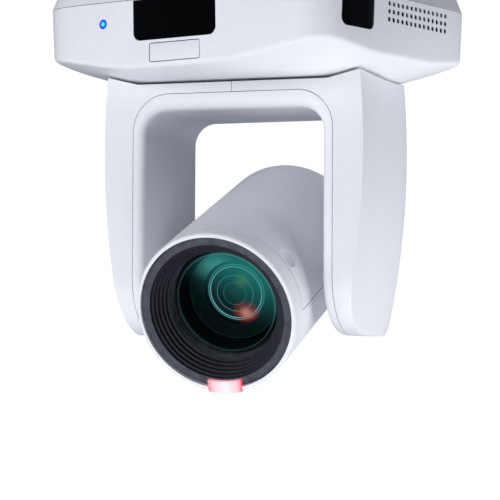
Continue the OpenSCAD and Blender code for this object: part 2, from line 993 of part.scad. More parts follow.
module front_arch_liner() {
    color(white)
        in_yoke()
            intersection() {
                arch_liner();
                translate([-yoke_half_w, -yoke_d, -total_h - cut])
                    cube([2 * yoke_half_w, yoke_d + liner_split - seam_gap, total_h + cut]);
            }
}

module rear_arch_liner() {
    color(white)
        in_yoke()
            intersection() {
                arch_liner();
                translate([-yoke_half_w, liner_split, -total_h - cut])
                    cube([2 * yoke_half_w, yoke_d, total_h + cut]);
            }
}

module arm_cover(side) {
    in_yoke()
        intersection() {
            difference() {
                yoke_envelope(0);
                arch(seam_half + seam_gap, seam_arch_drop - seam_gap, seam_arch_r + seam_gap);
                yoke_envelope(yoke_wall);
                translate([0, 0, -yoke_top_drop - yoke_wall - cut])
                    cylinder(r = spindle_r + 7, h = 12);
            }
            translate([side > 0 ? seam_gap / 2 : -2 * yoke_half_w - seam_gap / 2, -yoke_d, -total_h - cut])
                cube([2 * yoke_half_w, 2 * yoke_d, total_h + cut]);
        }
}

module left_arm_cover() {
    color(white)
        arm_cover(-1);
}

module right_arm_cover() {
    color(white)
        arm_cover(1);
}

module pan_spindle() {
    color(metal)
        in_yoke()
            difference() {
                union() {
                    translate([0, 0, -frame_top_drop])
                        cylinder(r = spindle_r + 6, h = frame_top_drop - pan_pulley_drop - 0.4);
                    translate([0, 0, -frame_top_drop])
                        cylinder(r = spindle_r, h = frame_top_drop - spindle_top_drop);
                }
                translate([0, 0, -frame_top_drop - cut])
                    cylinder(r = spindle_r - 5, h = frame_top_drop);
                yoke_screw_places()
                    translate([0, 0, -frame_top_drop - cut])
                        cylinder(r = screw_r + 0.05, h = 6 + cut, $fn = 32);
            }
}

module pan_pulley() {
    color(metal)
        in_yoke()
            translate([0, 0, -pan_pulley_drop])
                pulley(pan_pulley_r, pan_teeth, pulley_h, spindle_r);
}

module pan_retaining_ring() {
    color(metal)
        in_yoke()
            translate([0, 0, -chassis_drop + 1.5 + bearing_h + 0.1])
                difference() {
                    cylinder(r = spindle_r + 3, h = 2.5);
                    translate([0, 0, -cut])
                        cylinder(r = spindle_r, h = 2.5 + 2 * cut);
                    for (a = [0 : 90 : 270])
                        rotate([0, 0, a])
                            translate([spindle_r + 2, -1.2, -cut])
                                cube([3, 2.4, 5]);
                }
}

module yoke_frame() {
    boss_h = frame_t + tilt_bearing_h;
    color(metal)
        in_yoke()
            difference() {
                union() {
                    translate([-frame_x - frame_t, -frame_half_d, -frame_top_drop - frame_t])
                        cube([2 * frame_x + 2 * frame_t, 2 * frame_half_d, frame_t]);
                    for (s = [-1, 1]) {
                        translate([s > 0 ? frame_x : -frame_x - frame_t, -frame_half_d + 4, -frame_end_drop])
                            cube([frame_t, 2 * frame_half_d - 8, frame_end_drop - frame_top_drop]);
                        translate([0, 0, -pivot_drop])
                            x_cylinder(s > 0 ? frame_x : -frame_x - boss_h, tilt_boss_r, boss_h);
                    }
                    translate([0, 0, -tilt_motor_drop])
                        for (a = [90, 210, 330])
                            translate([0, tilt_post_r * cos(a), tilt_post_r * sin(a)])
                                x_cylinder(frame_x, 2, tilt_motor_x - frame_x);
                }
                translate([0, 0, -frame_top_drop - frame_t - cut])
                    cylinder(r = spindle_r - 5, h = frame_t + 2 * cut);
                tilt_hole(tilt_shaft_r + 1);
                for (s = [-1, 1])
                    translate([0, 0, -pivot_drop])
                        x_cylinder(s > 0 ? frame_x + frame_t : -frame_x - boss_h - cut, tilt_bearing_r,
                            tilt_bearing_h + cut);
                yoke_screw_places()
                    translate([0, 0, -frame_top_drop - frame_t - cut])
                        cylinder(r = screw_r + 0.2, h = frame_t + 2 * cut, $fn = 32);
            }
}

module tilt_bearings() {
    color(metal)
        in_yoke()
            translate([0, 0, -pivot_drop])
                for (s = [-1, 1])
                    translate([s > 0 ? frame_x + frame_t : -frame_x - frame_t - tilt_bearing_h, 0, 0])
                        rotate([0, 90, 0])
                            ball_bearing(tilt_shaft_r + fit_gap, tilt_bearing_r, tilt_bearing_h);
}

module tilt_motor() {
    color(black)
        in_yoke()
            translate([0, 0, -tilt_motor_drop])
                difference() {
                    x_cylinder(tilt_motor_x, tilt_motor_r, tilt_motor_t);
                    x_cylinder(tilt_motor_x - cut, 1.5 + fit_gap, tilt_motor_t);
                }
}

module tilt_motor_pulley() {
    color(metal)
        in_yoke()
            translate([0, 0, -tilt_motor_drop]) {
                translate([tilt_belt_x, 0, 0])
                    rotate([0, 90, 0])
                        pulley(tilt_motor_pulley_r, tilt_motor_teeth, tilt_belt_w, 1.2);
                x_cylinder(tilt_belt_x, 1.5, tilt_motor_x + tilt_motor_t - 1.3 - tilt_belt_x);
            }
}

module tilt_belt() {
    color(black)
        in_yoke()
            translate([tilt_belt_x + 0.8, 0, -pivot_drop])
                rotate([0, 90, 0])
                    mirror([1, 0, 0])
                        belt(tilt_pulley_r, tilt_motor_pulley_r, pivot_drop - tilt_motor_drop,
                            tilt_belt_w - 1.6);
}

module yoke_screws() {
    color(metal)
        in_yoke()
            yoke_screw_places()
                translate([0, 0, -frame_top_drop - frame_t]) {
                    translate([0, 0, -0.5])
                        cylinder(r = screw_head_r - 0.4, h = 0.5, $fn = 32);
                    cylinder(r = screw_r, h = frame_t + 5, $fn = 32);
                }
}

// Four low-head screws up through the yoke frame into the wall of the spindle
module yoke_screw_places() {
    for (a = [45 : 90 : 315])
        rotate([0, 0, a])
            translate([spindle_r - 2.5, 0, 0])
                children();
}

// ---- head, drawn in the lens frame ----

// Outer or inner form of the head: a tapered barrel with a rounded back
module head_form(inset) {
    front = lens_reach + head_rim;
    back = -head_back;
    r_back = head_back_r - inset;
    round_r = back_round - inset;
    rotate_extrude($fn = 96)
        polygon(concat(
            [[0, front], [head_r - inset, front], [head_r - 0.3 - inset, taper_start]],
            [for (a = [0 : 10 : 90]) [r_back - round_r + round_r * cos(a), back - round_r * sin(a)]],
            [[0, back - round_r]]));
}

// Tubes that carry the tilt shafts, from inside the shell out to the arms
module head_hubs() {
    for (s = [-1, 1])
        x_cylinder(s > 0 ? hub_in_x : -hub_x, hub_r, hub_x - hub_in_x);
}

// Whole white casing of the head before it is split in two
module head_casing() {
    difference() {
        union() {
            difference() {
                head_form(0);
                intersection() {
                    head_form(head_wall);
                    translate([-head_r, -head_r, -2 * head_r])
                        cube([2 * head_r, 2 * head_r, 2 * head_r + collar_back - 0.6]);
                }
            }
            head_hubs();
            for (s = [-1, 1])
                dimple_at(s)
                    translate([0, 0, -dimple_floor_t])
                        cylinder(r = dimple_r, h = dimple_depth);
        }
        translate([0, 0, collar_back - cut])
            cylinder(r = ring_r + 0.3, h = 20, $fn = 96);
        x_cylinder(-hub_x - cut, tilt_shaft_r + 0.3, 2 * hub_x + 2 * cut);
        tally_block(0.2);
        for (s = [-1, 1])
            dimple_at(s) {
                cylinder(r = screw_r + 0.2, h = 20, $fn = 32, center = true);
                cylinder(r = dimple_bore, h = dimple_depth + cut);
            }
    }
}

// Screw recess on the side of the barrel; z = 0 is the floor of the recess
module dimple_at(s) {
    rotate([0, 0, s > 0 ? dimple_angle : 180 - dimple_angle])
        translate([head_r - dimple_depth, 0, dimple_z])
            rotate([0, 90, 0])
                children();
}

module tally_block(grow) {
    intersection() {
        difference() {
            translate([0, 0, lens_reach - 4 - grow])
                cylinder(r = tally_out_r + grow, h = 4 + head_rim + 0.4 + 2 * grow, $fn = 96);
            translate([0, 0, lens_reach - 8])
                cylinder(r = tally_in_r - grow, h = 20, $fn = 96);
        }
        translate([-tally_w / 2 - grow, -2 * head_r, 0])
            cube([tally_w + 2 * grow, 2 * head_r, 2 * lens_reach]);
    }
}

// Space above the joint and behind the collar
module upper_space(gap) {
    translate([-2 * head_r, split_y + gap, -3 * head_r])
        cube([4 * head_r, 4 * head_r, 3 * head_r + collar_back - gap]);
}

module lower_head_shell() {
    color(white)
        in_head()
            difference() {
                head_casing();
                upper_space(0);
            }
}

module upper_head_shell() {
    color(white)
        in_head()
            intersection() {
                head_casing();
                upper_space(seam_gap);
            }
}

// Black stepped ring and the tunnel behind it, with two lugs that take the head screws
module lens_ring() {
    face_in = ring_r - ring_face;
    steps = [for (i = [0 : ring_steps - 1]) each [
        [face_in - i * step_in, lens_reach - (i + 1) * step_back],
        [face_in - (i + 1) * step_in, lens_reach - (i + 1) * step_back]]];
    color(black)
        in_head()
            difference() {
                union() {
                    rotate_extrude($fn = 96)
                        polygon(concat(
                            [[ring_r, collar_back + 1], [ring_r, lens_reach], [face_in, lens_reach]],
                            steps,
                            [[tunnel_r, tunnel_end], [tunnel_r + 1.6, tunnel_end],
                                [tunnel_r + 1.6, collar_back + 1]]));
                    for (s = [-1, 1])
                        dimple_at(s)
                            translate([-lug_reach, -lug_w / 2, -dimple_floor_t - lug_t])
                                cube([lug_reach + lug_w / 2, lug_w, lug_t]);
                }
                tally_block(0.2);
                for (s = [-1, 1])
                    dimple_at(s)
                        translate([0, 0, -dimple_floor_t - lug_t - cut])
                            cylinder(r = screw_r + 0.05, h = lug_t + 2 * cut, $fn = 32);
            }
}

module front_lens() {
    bend = 75;
    edge = 3;
    crown = bend - sqrt(bend * bend - glass_r * glass_r);
    color([0.1, 0.45, 0.42, 0.6])
        in_head()
            translate([0, 0, tunnel_end + 1]) {
                cylinder(r = glass_r, h = edge, $fn = 96);
                translate([0, 0, edge])
                    intersection() {
                        translate([0, 0, crown - bend])
                            sphere(r = bend, $fn = 96);
                        cylinder(r = glass_r, h = crown + cut, $fn = 96);
                    }
            }
}

module lens_barrel() {
    front = tunnel_end - 0.4;
    color([0.1, 0.1, 0.11])
        in_head()
            difference() {
                translate([0, 0, barrel_back])
                    cylinder(r = barrel_r, h = front - barrel_back, $fn = 96);
                translate([0, 0, barrel_back + 2])
                    cylinder(r = barrel_bore, h = front - barrel_back, $fn = 96);
                translate([0, 0, barrel_back - cut])
                    cylinder(r = 8, h = 4);
            }
}

// Ring-mounted lens that slides in the barrel
module lens_group(z, thickness, lens_r) {
    bend = 2.2 * lens_r;
    translate([0, 0, z]) {
        difference() {
            cylinder(r = group_r, h = thickness, $fn = 96);
            translate([0, 0, -cut])
                cylinder(r = lens_r, h = thickness + 2 * cut, $fn = 96);
        }
        intersection() {
            translate([0, 0, thickness / 2 + 2.5 - bend])
                sphere(r = bend, $fn = 96);
            translate([0, 0, 1])
                cylinder(r = lens_r, h = 10, $fn = 96);
        }
    }
}

module zoom_lens_group() {
    color([0.15, 0.3, 0.35])
        in_head()
            lens_group(26, 8, 17);
}

module iris() {
    color(black)
        in_head()
            translate([0, 0, 6])
                difference() {
                    cylinder(r = barrel_bore - 0.1, h = 1.6, $fn = 96);
                    translate([0, 0, -cut])
                        cylinder(r = 7, h = 4);
                }
}

module focus_lens_group() {
    color([0.15, 0.3, 0.35])
        in_head()
            lens_group(-10, 6, 10);
}

module infrared_filter() {
    color([0.55, 0.2, 0.25])
        in_head()
            translate([-7, -6, -22])
                difference() {
                    cube([26, 12, 1.2]);
                    for (x = [7, 19])
                        translate([x, 6, -cut])
                            cylinder(r = 4.6, h = 4);
                }
}

// Two small stepper cans under the barrel that drive the zoom and focus groups
module lens_motors() {
    color(metal)
        in_head()
            for (a = [-112, -68])
                rotate([0, 0, a])
                    translate([barrel_r + lens_motor_r, 0, -2])
                        cylinder(r = lens_motor_r, h = 7, $fn = 48);
}

module sensor_board() {
    color(board_green)
        in_head()
            translate([0, 0, barrel_back - 1.4]) {
                translate([-21, -18, -board_t])
                    difference() {
                        cube([42, 36, board_t]);
                        for (x = [3, 39], y = [3, 33])
                            translate([x, y, -cut])
                                cylinder(r = 1.1, h = board_t + 2 * cut, $fn = 24);
                    }
                translate([-6, -4.5, 0])
                    cube([12, 9, 1.4]);
            }
}

// Bent bracket that carries the barrel and the tilt shafts
module head_frame() {
    side_x = barrel_r + 0.4;
    side_t = hub_in_x - side_x - 0.3;
    color(metal)
        in_head()
            difference() {
                union() {
                    for (s = [-1, 1])
                        translate([s > 0 ? side_x : -side_x - side_t, -13, -18])
                            cube([side_t, 26, 36]);
                    for (z = [-18, 8])
                        translate([0, 0, z])
                            intersection() {
                                difference() {
                                    cylinder(r = side_x + side_t, h = 10);
                                    translate([0, 0, -cut])
                                        cylinder(r = barrel_r + 0.1, h = 10 + 2 * cut);
                                }
                                translate([-side_x - side_t, -2 * barrel_r, -cut])
                                    cube([2 * side_x + 2 * side_t, 4 * barrel_r, 20]);
                            }
                }
                x_cylinder(-side_x - side_t - cut, 3, 2 * (side_x + side_t + cut));
            }
}

module tilt_shaft(side, end) {
    start = hub_in_x - 0.3;
    in_head()
        mirror([side > 0 ? 0 : 1, 0, 0])
            difference() {
                x_cylinder(start, tilt_shaft_r, end - start);
                x_cylinder(start - cut, 2.6, end - start + 2 * cut);
            }
}

module left_tilt_shaft() {
    color(metal)
        tilt_shaft(-1, frame_x + frame_t + tilt_bearing_h + 1);
}

module right_tilt_shaft() {
    color(metal)
        tilt_shaft(1, tilt_belt_x + tilt_belt_w);
}

module tilt_pulley() {
    color(metal)
        in_head()
            translate([tilt_belt_x, 0, 0])
                rotate([0, 90, 0])
                    pulley(tilt_pulley_r, tilt_teeth, tilt_belt_w, tilt_shaft_r);
}

module tally_light() {
    color([1, 0.45, 0.5])
        in_head()
            tally_block(0);
}

module head_screws() {
    color(metal)
        in_head()
            for (s = [-1, 1])
                dimple_at(s)
                    screw(5);
}

ceiling_cover();
mount_plate();
tripod_bushing();
base_shell();
front_window();
left_side_window();
right_side_window();
name_plate();
status_led();
base_chassis();
main_board();
heat_sink();
socket_board();
socket_plate();
power_socket();
network_socket();
hdmi_socket();
usb_socket();
sdi_socket();
serial_socket();
audio_socket();
fan_frame();
fan_rotor();
pan_motor();
pan_motor_pulley();
pan_belt();
pan_bearing();
base_screws();
cover_screws();
plate_screws();
pan_spindle();
pan_pulley();
pan_retaining_ring();
yoke_frame();
left_arm_cover();
right_arm_cover();
front_arch_liner();
rear_arch_liner();
tilt_bearings();
tilt_motor();
tilt_motor_pulley();
tilt_belt();
yoke_screws();
lower_head_shell();
upper_head_shell();
lens_ring();
front_lens();
lens_barrel();
zoom_lens_group();
iris();
focus_lens_group();
infrared_filter();
lens_motors();
sensor_board();
head_frame();
left_tilt_shaft();
right_tilt_shaft();
tilt_pulley();
tally_light();
head_screws();
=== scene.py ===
# A pan-tilt-zoom camera that hangs from a ceiling: the base on top, the yoke below it and the
# camera head in the yoke. Pieces are shaped in millimetres and scaled to metres when they are settled.
import json
import math

import bmesh
import bpy
from mathutils import Matrix, Vector


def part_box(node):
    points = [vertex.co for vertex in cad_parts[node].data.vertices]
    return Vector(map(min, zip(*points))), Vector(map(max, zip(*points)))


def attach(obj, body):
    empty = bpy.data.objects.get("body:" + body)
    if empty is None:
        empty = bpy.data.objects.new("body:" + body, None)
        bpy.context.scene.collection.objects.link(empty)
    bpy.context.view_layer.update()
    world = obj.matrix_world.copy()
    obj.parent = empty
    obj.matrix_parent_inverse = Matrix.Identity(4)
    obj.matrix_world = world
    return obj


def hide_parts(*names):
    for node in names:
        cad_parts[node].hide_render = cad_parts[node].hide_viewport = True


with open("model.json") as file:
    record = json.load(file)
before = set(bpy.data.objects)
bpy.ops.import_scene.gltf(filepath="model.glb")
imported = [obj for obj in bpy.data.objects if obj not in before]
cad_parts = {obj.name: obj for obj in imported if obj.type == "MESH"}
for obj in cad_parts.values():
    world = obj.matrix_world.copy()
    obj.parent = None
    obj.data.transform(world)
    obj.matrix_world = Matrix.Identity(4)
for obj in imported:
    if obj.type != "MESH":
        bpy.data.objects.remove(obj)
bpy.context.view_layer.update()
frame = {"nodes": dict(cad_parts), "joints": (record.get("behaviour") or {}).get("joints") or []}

# ---- Base shell ----
# The main moulding of the base: drafted walls, a shallow conical underside and a soft crease between them.
# It is injection moulded in satin white ABS, 2.5 mm thick, and hangs on posts from the chassis inside.
MM = 0.001
NODES = frame["nodes"]
base_low, base_high = (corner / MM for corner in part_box("base_shell"))
BASE_HALF = Vector((base_high.x, base_high.y))
SEAM_Z = base_high.z
UNDERSIDE_Z = base_low.z
CORNER_POWER = 8
COLUMNS = 176
FLAT_R = 64
CONE_SLOPE = 0.288
WALL = 2.5
DRAFT = 1.2
CREASE, INNER_CREASE = 2.6, 1.5
SHOULDER_SOFTNESS = 6
SPINDLE_HOLE_R = 27
SOCKET_GAP = Vector((0.4, 0, 0.4))
SOCKET_REACH = 8
OVERCUT = 1


def only(piece):
    """Makes one piece the whole selection."""
    bpy.ops.object.select_all(action="DESELECT")
    piece.select_set(True)
    bpy.context.view_layer.objects.active = piece
    return piece


def add(kind, **settings):
    """A new primitive, alone in the selection."""
    bpy.ops.object.select_all(action="DESELECT")
    getattr(bpy.ops.mesh, f"primitive_{kind}_add")(**settings)
    return bpy.context.object


def box(low, high):
    """A block between two corners."""
    low, high = Vector(low), Vector(high)
    block = add("cube", size=1, location=(low + high) / 2, scale=high - low)
    bpy.ops.object.transform_apply(location=True, rotation=True, scale=True)
    return block


def edit(piece, kind, wanted):
    """Opens a piece in edit mode with only the wanted vertices, edges or faces selected."""
    only(piece)
    bpy.ops.object.mode_set(mode="EDIT")
    bpy.ops.mesh.select_mode(type=kind)
    bpy.ops.mesh.select_all(action="DESELECT")
    mesh = bmesh.from_edit_mesh(piece.data)
    mesh.normal_update()
    for item in {"VERT": mesh.verts, "EDGE": mesh.edges, "FACE": mesh.faces}[kind]:
        if wanted(item):
            item.select_set(True)
    bmesh.update_edit_mesh(piece.data)


def done():
    """Back to object mode."""
    bpy.ops.object.mode_set(mode="OBJECT")


def round_edges(piece, wanted, radius, segments):
    """Rounds the edges that pass a test."""
    edit(piece, "EDGE", wanted)
    bpy.ops.mesh.bevel(offset=radius, segments=segments, affect="EDGES", clamp_overlap=True)
    done()
    return piece


def modify(piece, kind, **settings):
    """Adds a modifier and applies it."""
    only(piece)
    modifier = piece.modifiers.new(kind.title(), kind)
    for name, value in settings.items():
        setattr(modifier, name, value)
    bpy.ops.object.modifier_apply(modifier=modifier.name)
    return piece


def cut(piece, tool, operation="DIFFERENCE"):
    """Cuts one piece with another, or joins or crosses them, and uses the tool up."""
    modify(piece, "BOOLEAN", object=tool, operation=operation, solver="EXACT")
    bpy.data.objects.remove(tool)
    return piece


def everything(item):
    """The test that every vertex, edge and face passes."""
    return True


def merged(piece):
    """Closes seams and poles, and turns the faces outwards."""
    edit(piece, "VERT", everything)
    bpy.ops.mesh.remove_doubles(threshold=0.002)
    bpy.ops.mesh.normals_make_consistent(inside=False)
    done()
    return piece


def twin(piece):
    """A second piece with its own mesh."""
    copy = piece.copy()
    copy.data = piece.data.copy()
    bpy.context.scene.collection.objects.link(copy)
    return copy


def outline(turn, inset):
    """A point on the base outline, a rounded and slightly bowed rectangle."""
    c, s = math.cos(turn), math.sin(turn)
    half = BASE_HALF - Vector((inset, inset))
    return Vector((
        half.x * math.copysign(abs(c) ** (2 / CORNER_POWER), c),
        half.y * math.copysign(abs(s) ** (2 / CORNER_POWER), s),
    ))


def softened(before, corner, after, size, steps=6):
    """Points that round one corner of a section."""
    start = corner + (before - corner).normalized() * size
    end = corner + (after - corner).normalized() * size
    return [
        (1 - t) ** 2 * start + 2 * t * (1 - t) * corner + t * t * end
        for t in (step / steps for step in range(steps + 1))
    ]


def base_block(section, inset):
    """A closed block on the base outline. section gives the (reach, height) points of one column."""
    rows = len(section(outline(0, inset).length))
    block = add("grid", x_subdivisions=COLUMNS, y_subdivisions=rows - 1, size=2)
    for vertex in block.data.vertices:
        turn = (vertex.co.x + 1) * math.pi
        row = round((vertex.co.y + 1) / 2 * (rows - 1))
        spot = outline(turn + math.pi / COLUMNS, inset)
        reach, height = section(spot.length)[row]
        vertex.co = (*(spot.normalized() * reach), height)
    return merged(block)


def shell_section(inset, top, crease):
    """Column section of the base from the middle of its top, down the wall and in to the middle below."""

    def section(reach):
        low = UNDERSIDE_Z + inset
        foot_reach = reach - DRAFT
        foot = Vector((foot_reach, low + (foot_reach - FLAT_R) * CONE_SLOPE))
        shoulder = Vector((FLAT_R, low))
        rim = Vector((reach, top))
        middle = Vector((0, low))
        return [
            Vector((0, top)), rim,
            *softened(rim, foot, shoulder, crease),
            *softened(foot, shoulder, middle, SHOULDER_SOFTNESS, 4),
            middle,
        ]

    return section


def spindle_hole():
    """The hole that the hollow pan spindle passes through."""
    return add("cylinder", vertices=96, radius=SPINDLE_HOLE_R, depth=20, location=(0, 0, UNDERSIDE_Z))


base_shell = base_block(shell_section(0, SEAM_Z, CREASE), 0)
cut(base_shell, base_block(shell_section(WALL, SEAM_Z + OVERCUT, INNER_CREASE), WALL))
cut(base_shell, spindle_hole())

socket_low, socket_high = (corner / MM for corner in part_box("socket_plate"))
socket_high.y += SOCKET_REACH
cut(base_shell, box(socket_low - SOCKET_GAP, socket_high + SOCKET_GAP))

# ---- Windows ----
# Glossy black acrylic windows for the infrared receivers, one in the front wall and one in each side wall.
# They are moulded to the wall's own curve, sit a hair below it and are glued in from inside.
WINDOW_R = 4
WINDOW_T = 1.4
WINDOW_SINK = 0.25
WINDOW_GAP = 0.2
WINDOW_CREASE = 2
THROUGH_WALL = 6


def window_block(node, gap):
    """A rounded prism through the wall at a window's place, larger all round by a gap."""
    low, high = (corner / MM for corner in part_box(node))
    across = 0 if high.x - low.x > high.y - low.y else 1
    through = 1 - across
    low[across] -= gap
    high[across] += gap
    low.z -= gap
    high.z += gap
    low[through] -= THROUGH_WALL
    high[through] += THROUGH_WALL
    block = box(low, high)

    def lower_corner(edge):
        a, b = (v.co for v in edge.verts)
        return abs(a.z - low.z) < 0.01 and abs(b.z - low.z) < 0.01 and abs(a[across] - b[across]) < 0.01

    return round_edges(block, lower_corner, WINDOW_R + gap, 12)


windows = {}
for name in ("front_window", "left_side_window", "right_side_window"):
    cut(base_shell, window_block(name, WINDOW_GAP))
    window = window_block(name, 0)
    face = base_block(shell_section(WINDOW_SINK, SEAM_Z + OVERCUT, WINDOW_CREASE), WINDOW_SINK)
    cut(window, face, "INTERSECT")
    back = WINDOW_SINK + WINDOW_T
    cut(window, base_block(shell_section(back, SEAM_Z + 2 * OVERCUT, WINDOW_CREASE), back))
    windows[name] = window

# ---- Side vents ----
# Rows of small square holes in both side walls, which let the fan draw air over the boards.
# The mould forms them with pins, so each hole has slightly rounded corners.
VENT_COLUMNS, VENT_ROWS = 14, 3
VENT_PITCH_Y, VENT_PITCH_Z = 4.16, 3.95
VENT_SIZE, VENT_CORNER = 2.3, 0.55
VENT_REACH = 5
VENT_START = Vector((0, -14.3, -19.3))


def runs_along(axis):
    """The test for edges that run along X (0), Y (1) or Z (2)."""
    return lambda edge: abs(edge.verts[0].co[axis] - edge.verts[1].co[axis]) > 0.5


for side in (-1, 1):
    centre = VENT_START + Vector((side * BASE_HALF.x, 0, 0))
    half = Vector((VENT_REACH, VENT_SIZE / 2, VENT_SIZE / 2))
    pin = round_edges(box(centre - half, centre + half), runs_along(0), VENT_CORNER, 3)
    for count, step in ((VENT_COLUMNS, (0, VENT_PITCH_Y, 0)), (VENT_ROWS, (0, 0, -VENT_PITCH_Z))):
        modify(pin, "ARRAY", count=count, use_relative_offset=False, use_constant_offset=True,
               constant_offset_displace=step)
    cut(base_shell, pin)

# ---- Name plate ----
# A blank rectangular plate below the front window, pressed into a recess of the same shape.
# The thin groove round it is the gap between the two mouldings.
PLATE_R = 0.9
PLATE_GAP = 0.4
PLATE_T = 0.9
PLATE_PROUD = 0.05
PLATE_EDGE_R = 0.15
plate_low, plate_high = (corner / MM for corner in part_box("name_plate"))
plate_face = -BASE_HALF.y + DRAFT * (SEAM_Z - plate_low.z) / (SEAM_Z - UNDERSIDE_Z)


def plate_block(gap, front, back):
    """A rounded block of the plate's outline, larger all round by a gap."""
    block = box((plate_low.x - gap, front, plate_low.z - gap), (plate_high.x + gap, back, plate_high.z + gap))
    return round_edges(block, runs_along(1), PLATE_R + gap, 5)


cut(base_shell, plate_block(PLATE_GAP, -BASE_HALF.y - 2, plate_face + PLATE_T))
name_plate = plate_block(0, plate_face - PLATE_PROUD, plate_face + PLATE_T)
round_edges(name_plate, lambda e: max(v.co.y for v in e.verts) < plate_face, PLATE_EDGE_R, 2)

# ---- Status light ----
# A round blue indicator: a clear lens with a domed face in a hole of the front wall.
# Its collar is pressed in from behind, and the light comes from an LED on the main board.
led_low, led_high = (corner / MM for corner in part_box("status_led"))
LED_R = 2.25
LED_COLLAR_R = LED_R + 0.6
LED_BACK, LED_COLLAR_FRONT, LED_EDGE = -5, -3.8, -0.5
LED_HOLE_GAP = 0.25
LED_SINK = 0.35
LED_PROUD = 0.5
LED_SEGMENTS = 48
led_x, led_z = (led_low.x + led_high.x) / 2, (led_low.z + led_high.z) / 2


def turned(points, steps=128):
    """A turned shape: one vertex is extruded along the half section, then spun round Z."""
    piece = add("plane", size=1)
    edit(piece, "VERT", everything)
    bpy.ops.mesh.merge(type="CENTER")
    here = Vector((0, 0, 0))
    for index, (reach, height) in enumerate(points):
        step = Vector((reach, 0, height)) - here
        if index == 0:
            bpy.ops.transform.translate(value=step)
        else:
            bpy.ops.mesh.extrude_vertices_move(TRANSFORM_OT_translate={"value": step})
        here = Vector((reach, 0, height))
    bpy.ops.mesh.select_all(action="SELECT")
    bpy.ops.mesh.spin(steps=steps, angle=2 * math.pi, center=(0, 0, 0), axis=(0, 0, 1))
    done()
    return merged(piece)


def arc(x, y, radius, start, end, steps):
    """Points along an arc, with its angles in degrees."""
    angles = (math.radians(start + (end - start) * step / steps) for step in range(steps + 1))
    return [(x + radius * math.cos(a), y + radius * math.sin(a)) for a in angles]


def placed(piece, matrix):
    """Moves a piece and leaves its object at the origin."""
    piece.data.transform(matrix)
    piece.data.update()
    return piece


facing_front = Matrix.Rotation(math.radians(90), 4, "X")
led_face = -BASE_HALF.y + LED_SINK
led_hole = add("cylinder", vertices=LED_SEGMENTS, radius=LED_R + LED_HOLE_GAP, depth=12)
cut(base_shell, placed(led_hole, Matrix.Translation((led_x, led_face, led_z)) @ facing_front))
status_led = turned([
    (0, LED_BACK), (LED_COLLAR_R, LED_BACK), (LED_COLLAR_R, LED_COLLAR_FRONT), (LED_R, LED_COLLAR_FRONT),
    (LED_R, LED_EDGE), *arc(0, -LED_R * 1.6, LED_R * 1.9, 61, 90, 8)], LED_SEGMENTS)
placed(status_led, Matrix.Translation((led_x, led_face + LED_PROUD, led_z)) @ facing_front)

# ---- Ceiling cover ----
# The cover that closes the base against the ceiling. It draws in towards the mounting face and has a
# cut-out for the metal mount plate and four deep holes for the screws that hold it.
cover_low, cover_high = (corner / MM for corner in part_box("ceiling_cover"))
COVER_DRAW = 6
COVER_CREASE = 1.4
MOUNT_CUT_HALF = Vector((56.4, 43.4))
MOUNT_CUT_R = 6.4
POST_AT = BASE_HALF - Vector((14.5, 14.5))
POST_R, POST_TOP = 4.6, -2.6
BORE_SCREW_R, BORE_HEAD_R, BORE_SEAT_Z = 1.8, 3.3, -6


def cover_section(inset, low):
    """Column section of the cover from the middle of its open side up the wall to the middle of its top."""

    def section(reach):
        rim = Vector((reach - inset, low))
        top = Vector((reach - COVER_DRAW - inset, cover_high.z - inset))
        middle = Vector((0, cover_high.z - inset))
        return [Vector((0, low)), rim, *softened(rim, top, middle, COVER_CREASE, 5), middle]

    return section


ceiling_cover = base_block(cover_section(0, cover_low.z), 0)
cut(ceiling_cover, base_block(cover_section(WALL, cover_low.z - OVERCUT), 0))
mount_cut = box((*-MOUNT_CUT_HALF, -8), (*MOUNT_CUT_HALF, 2))
cut(ceiling_cover, round_edges(mount_cut, runs_along(2), MOUNT_CUT_R, 8))
for x in (-POST_AT.x, POST_AT.x):
    for y in (-POST_AT.y, POST_AT.y):
        at_post = Matrix.Translation((x, y, 0))
        post = turned([(0, cover_low.z), (POST_R, cover_low.z), (POST_R, POST_TOP), (0, POST_TOP)], 40)
        cut(ceiling_cover, placed(post, at_post), "UNION")
        bore = turned([(0, -20), (BORE_SCREW_R, -20), (BORE_SCREW_R, BORE_SEAT_Z),
                       (BORE_HEAD_R, BORE_SEAT_Z), (BORE_HEAD_R, OVERCUT), (0, OVERCUT)], 40)
        cut(ceiling_cover, placed(bore, at_post))


# ---- White plastic ----
# Satin white ABS, as on every outer moulding: a fine spark-eroded grain, faint flow marks in its sheen,
# and a slight polish and greying where hands and cloths rub the edges.
class Wire:
    """An output socket that takes part in sums as a number does."""

    def __init__(self, finish, socket):
        self.finish, self.socket = finish, socket

    def sum(self, operation, *values):
        """A Math node on these values."""
        return self.finish.node("Math", {"operation": operation}, dict(enumerate(values)))

    def __add__(self, other):
        return self.sum("ADD", self, other)

    def __sub__(self, other):
        return self.sum("SUBTRACT", self, other)

    def __mul__(self, other):
        return self.sum("MULTIPLY", self, other)

    def __gt__(self, other):
        return self.sum("GREATER_THAN", self, other)

    def __lt__(self, other):
        return self.sum("LESS_THAN", self, other)

    def __rsub__(self, other):
        return self.sum("SUBTRACT", other, self)

    __radd__, __rmul__ = __add__, __mul__


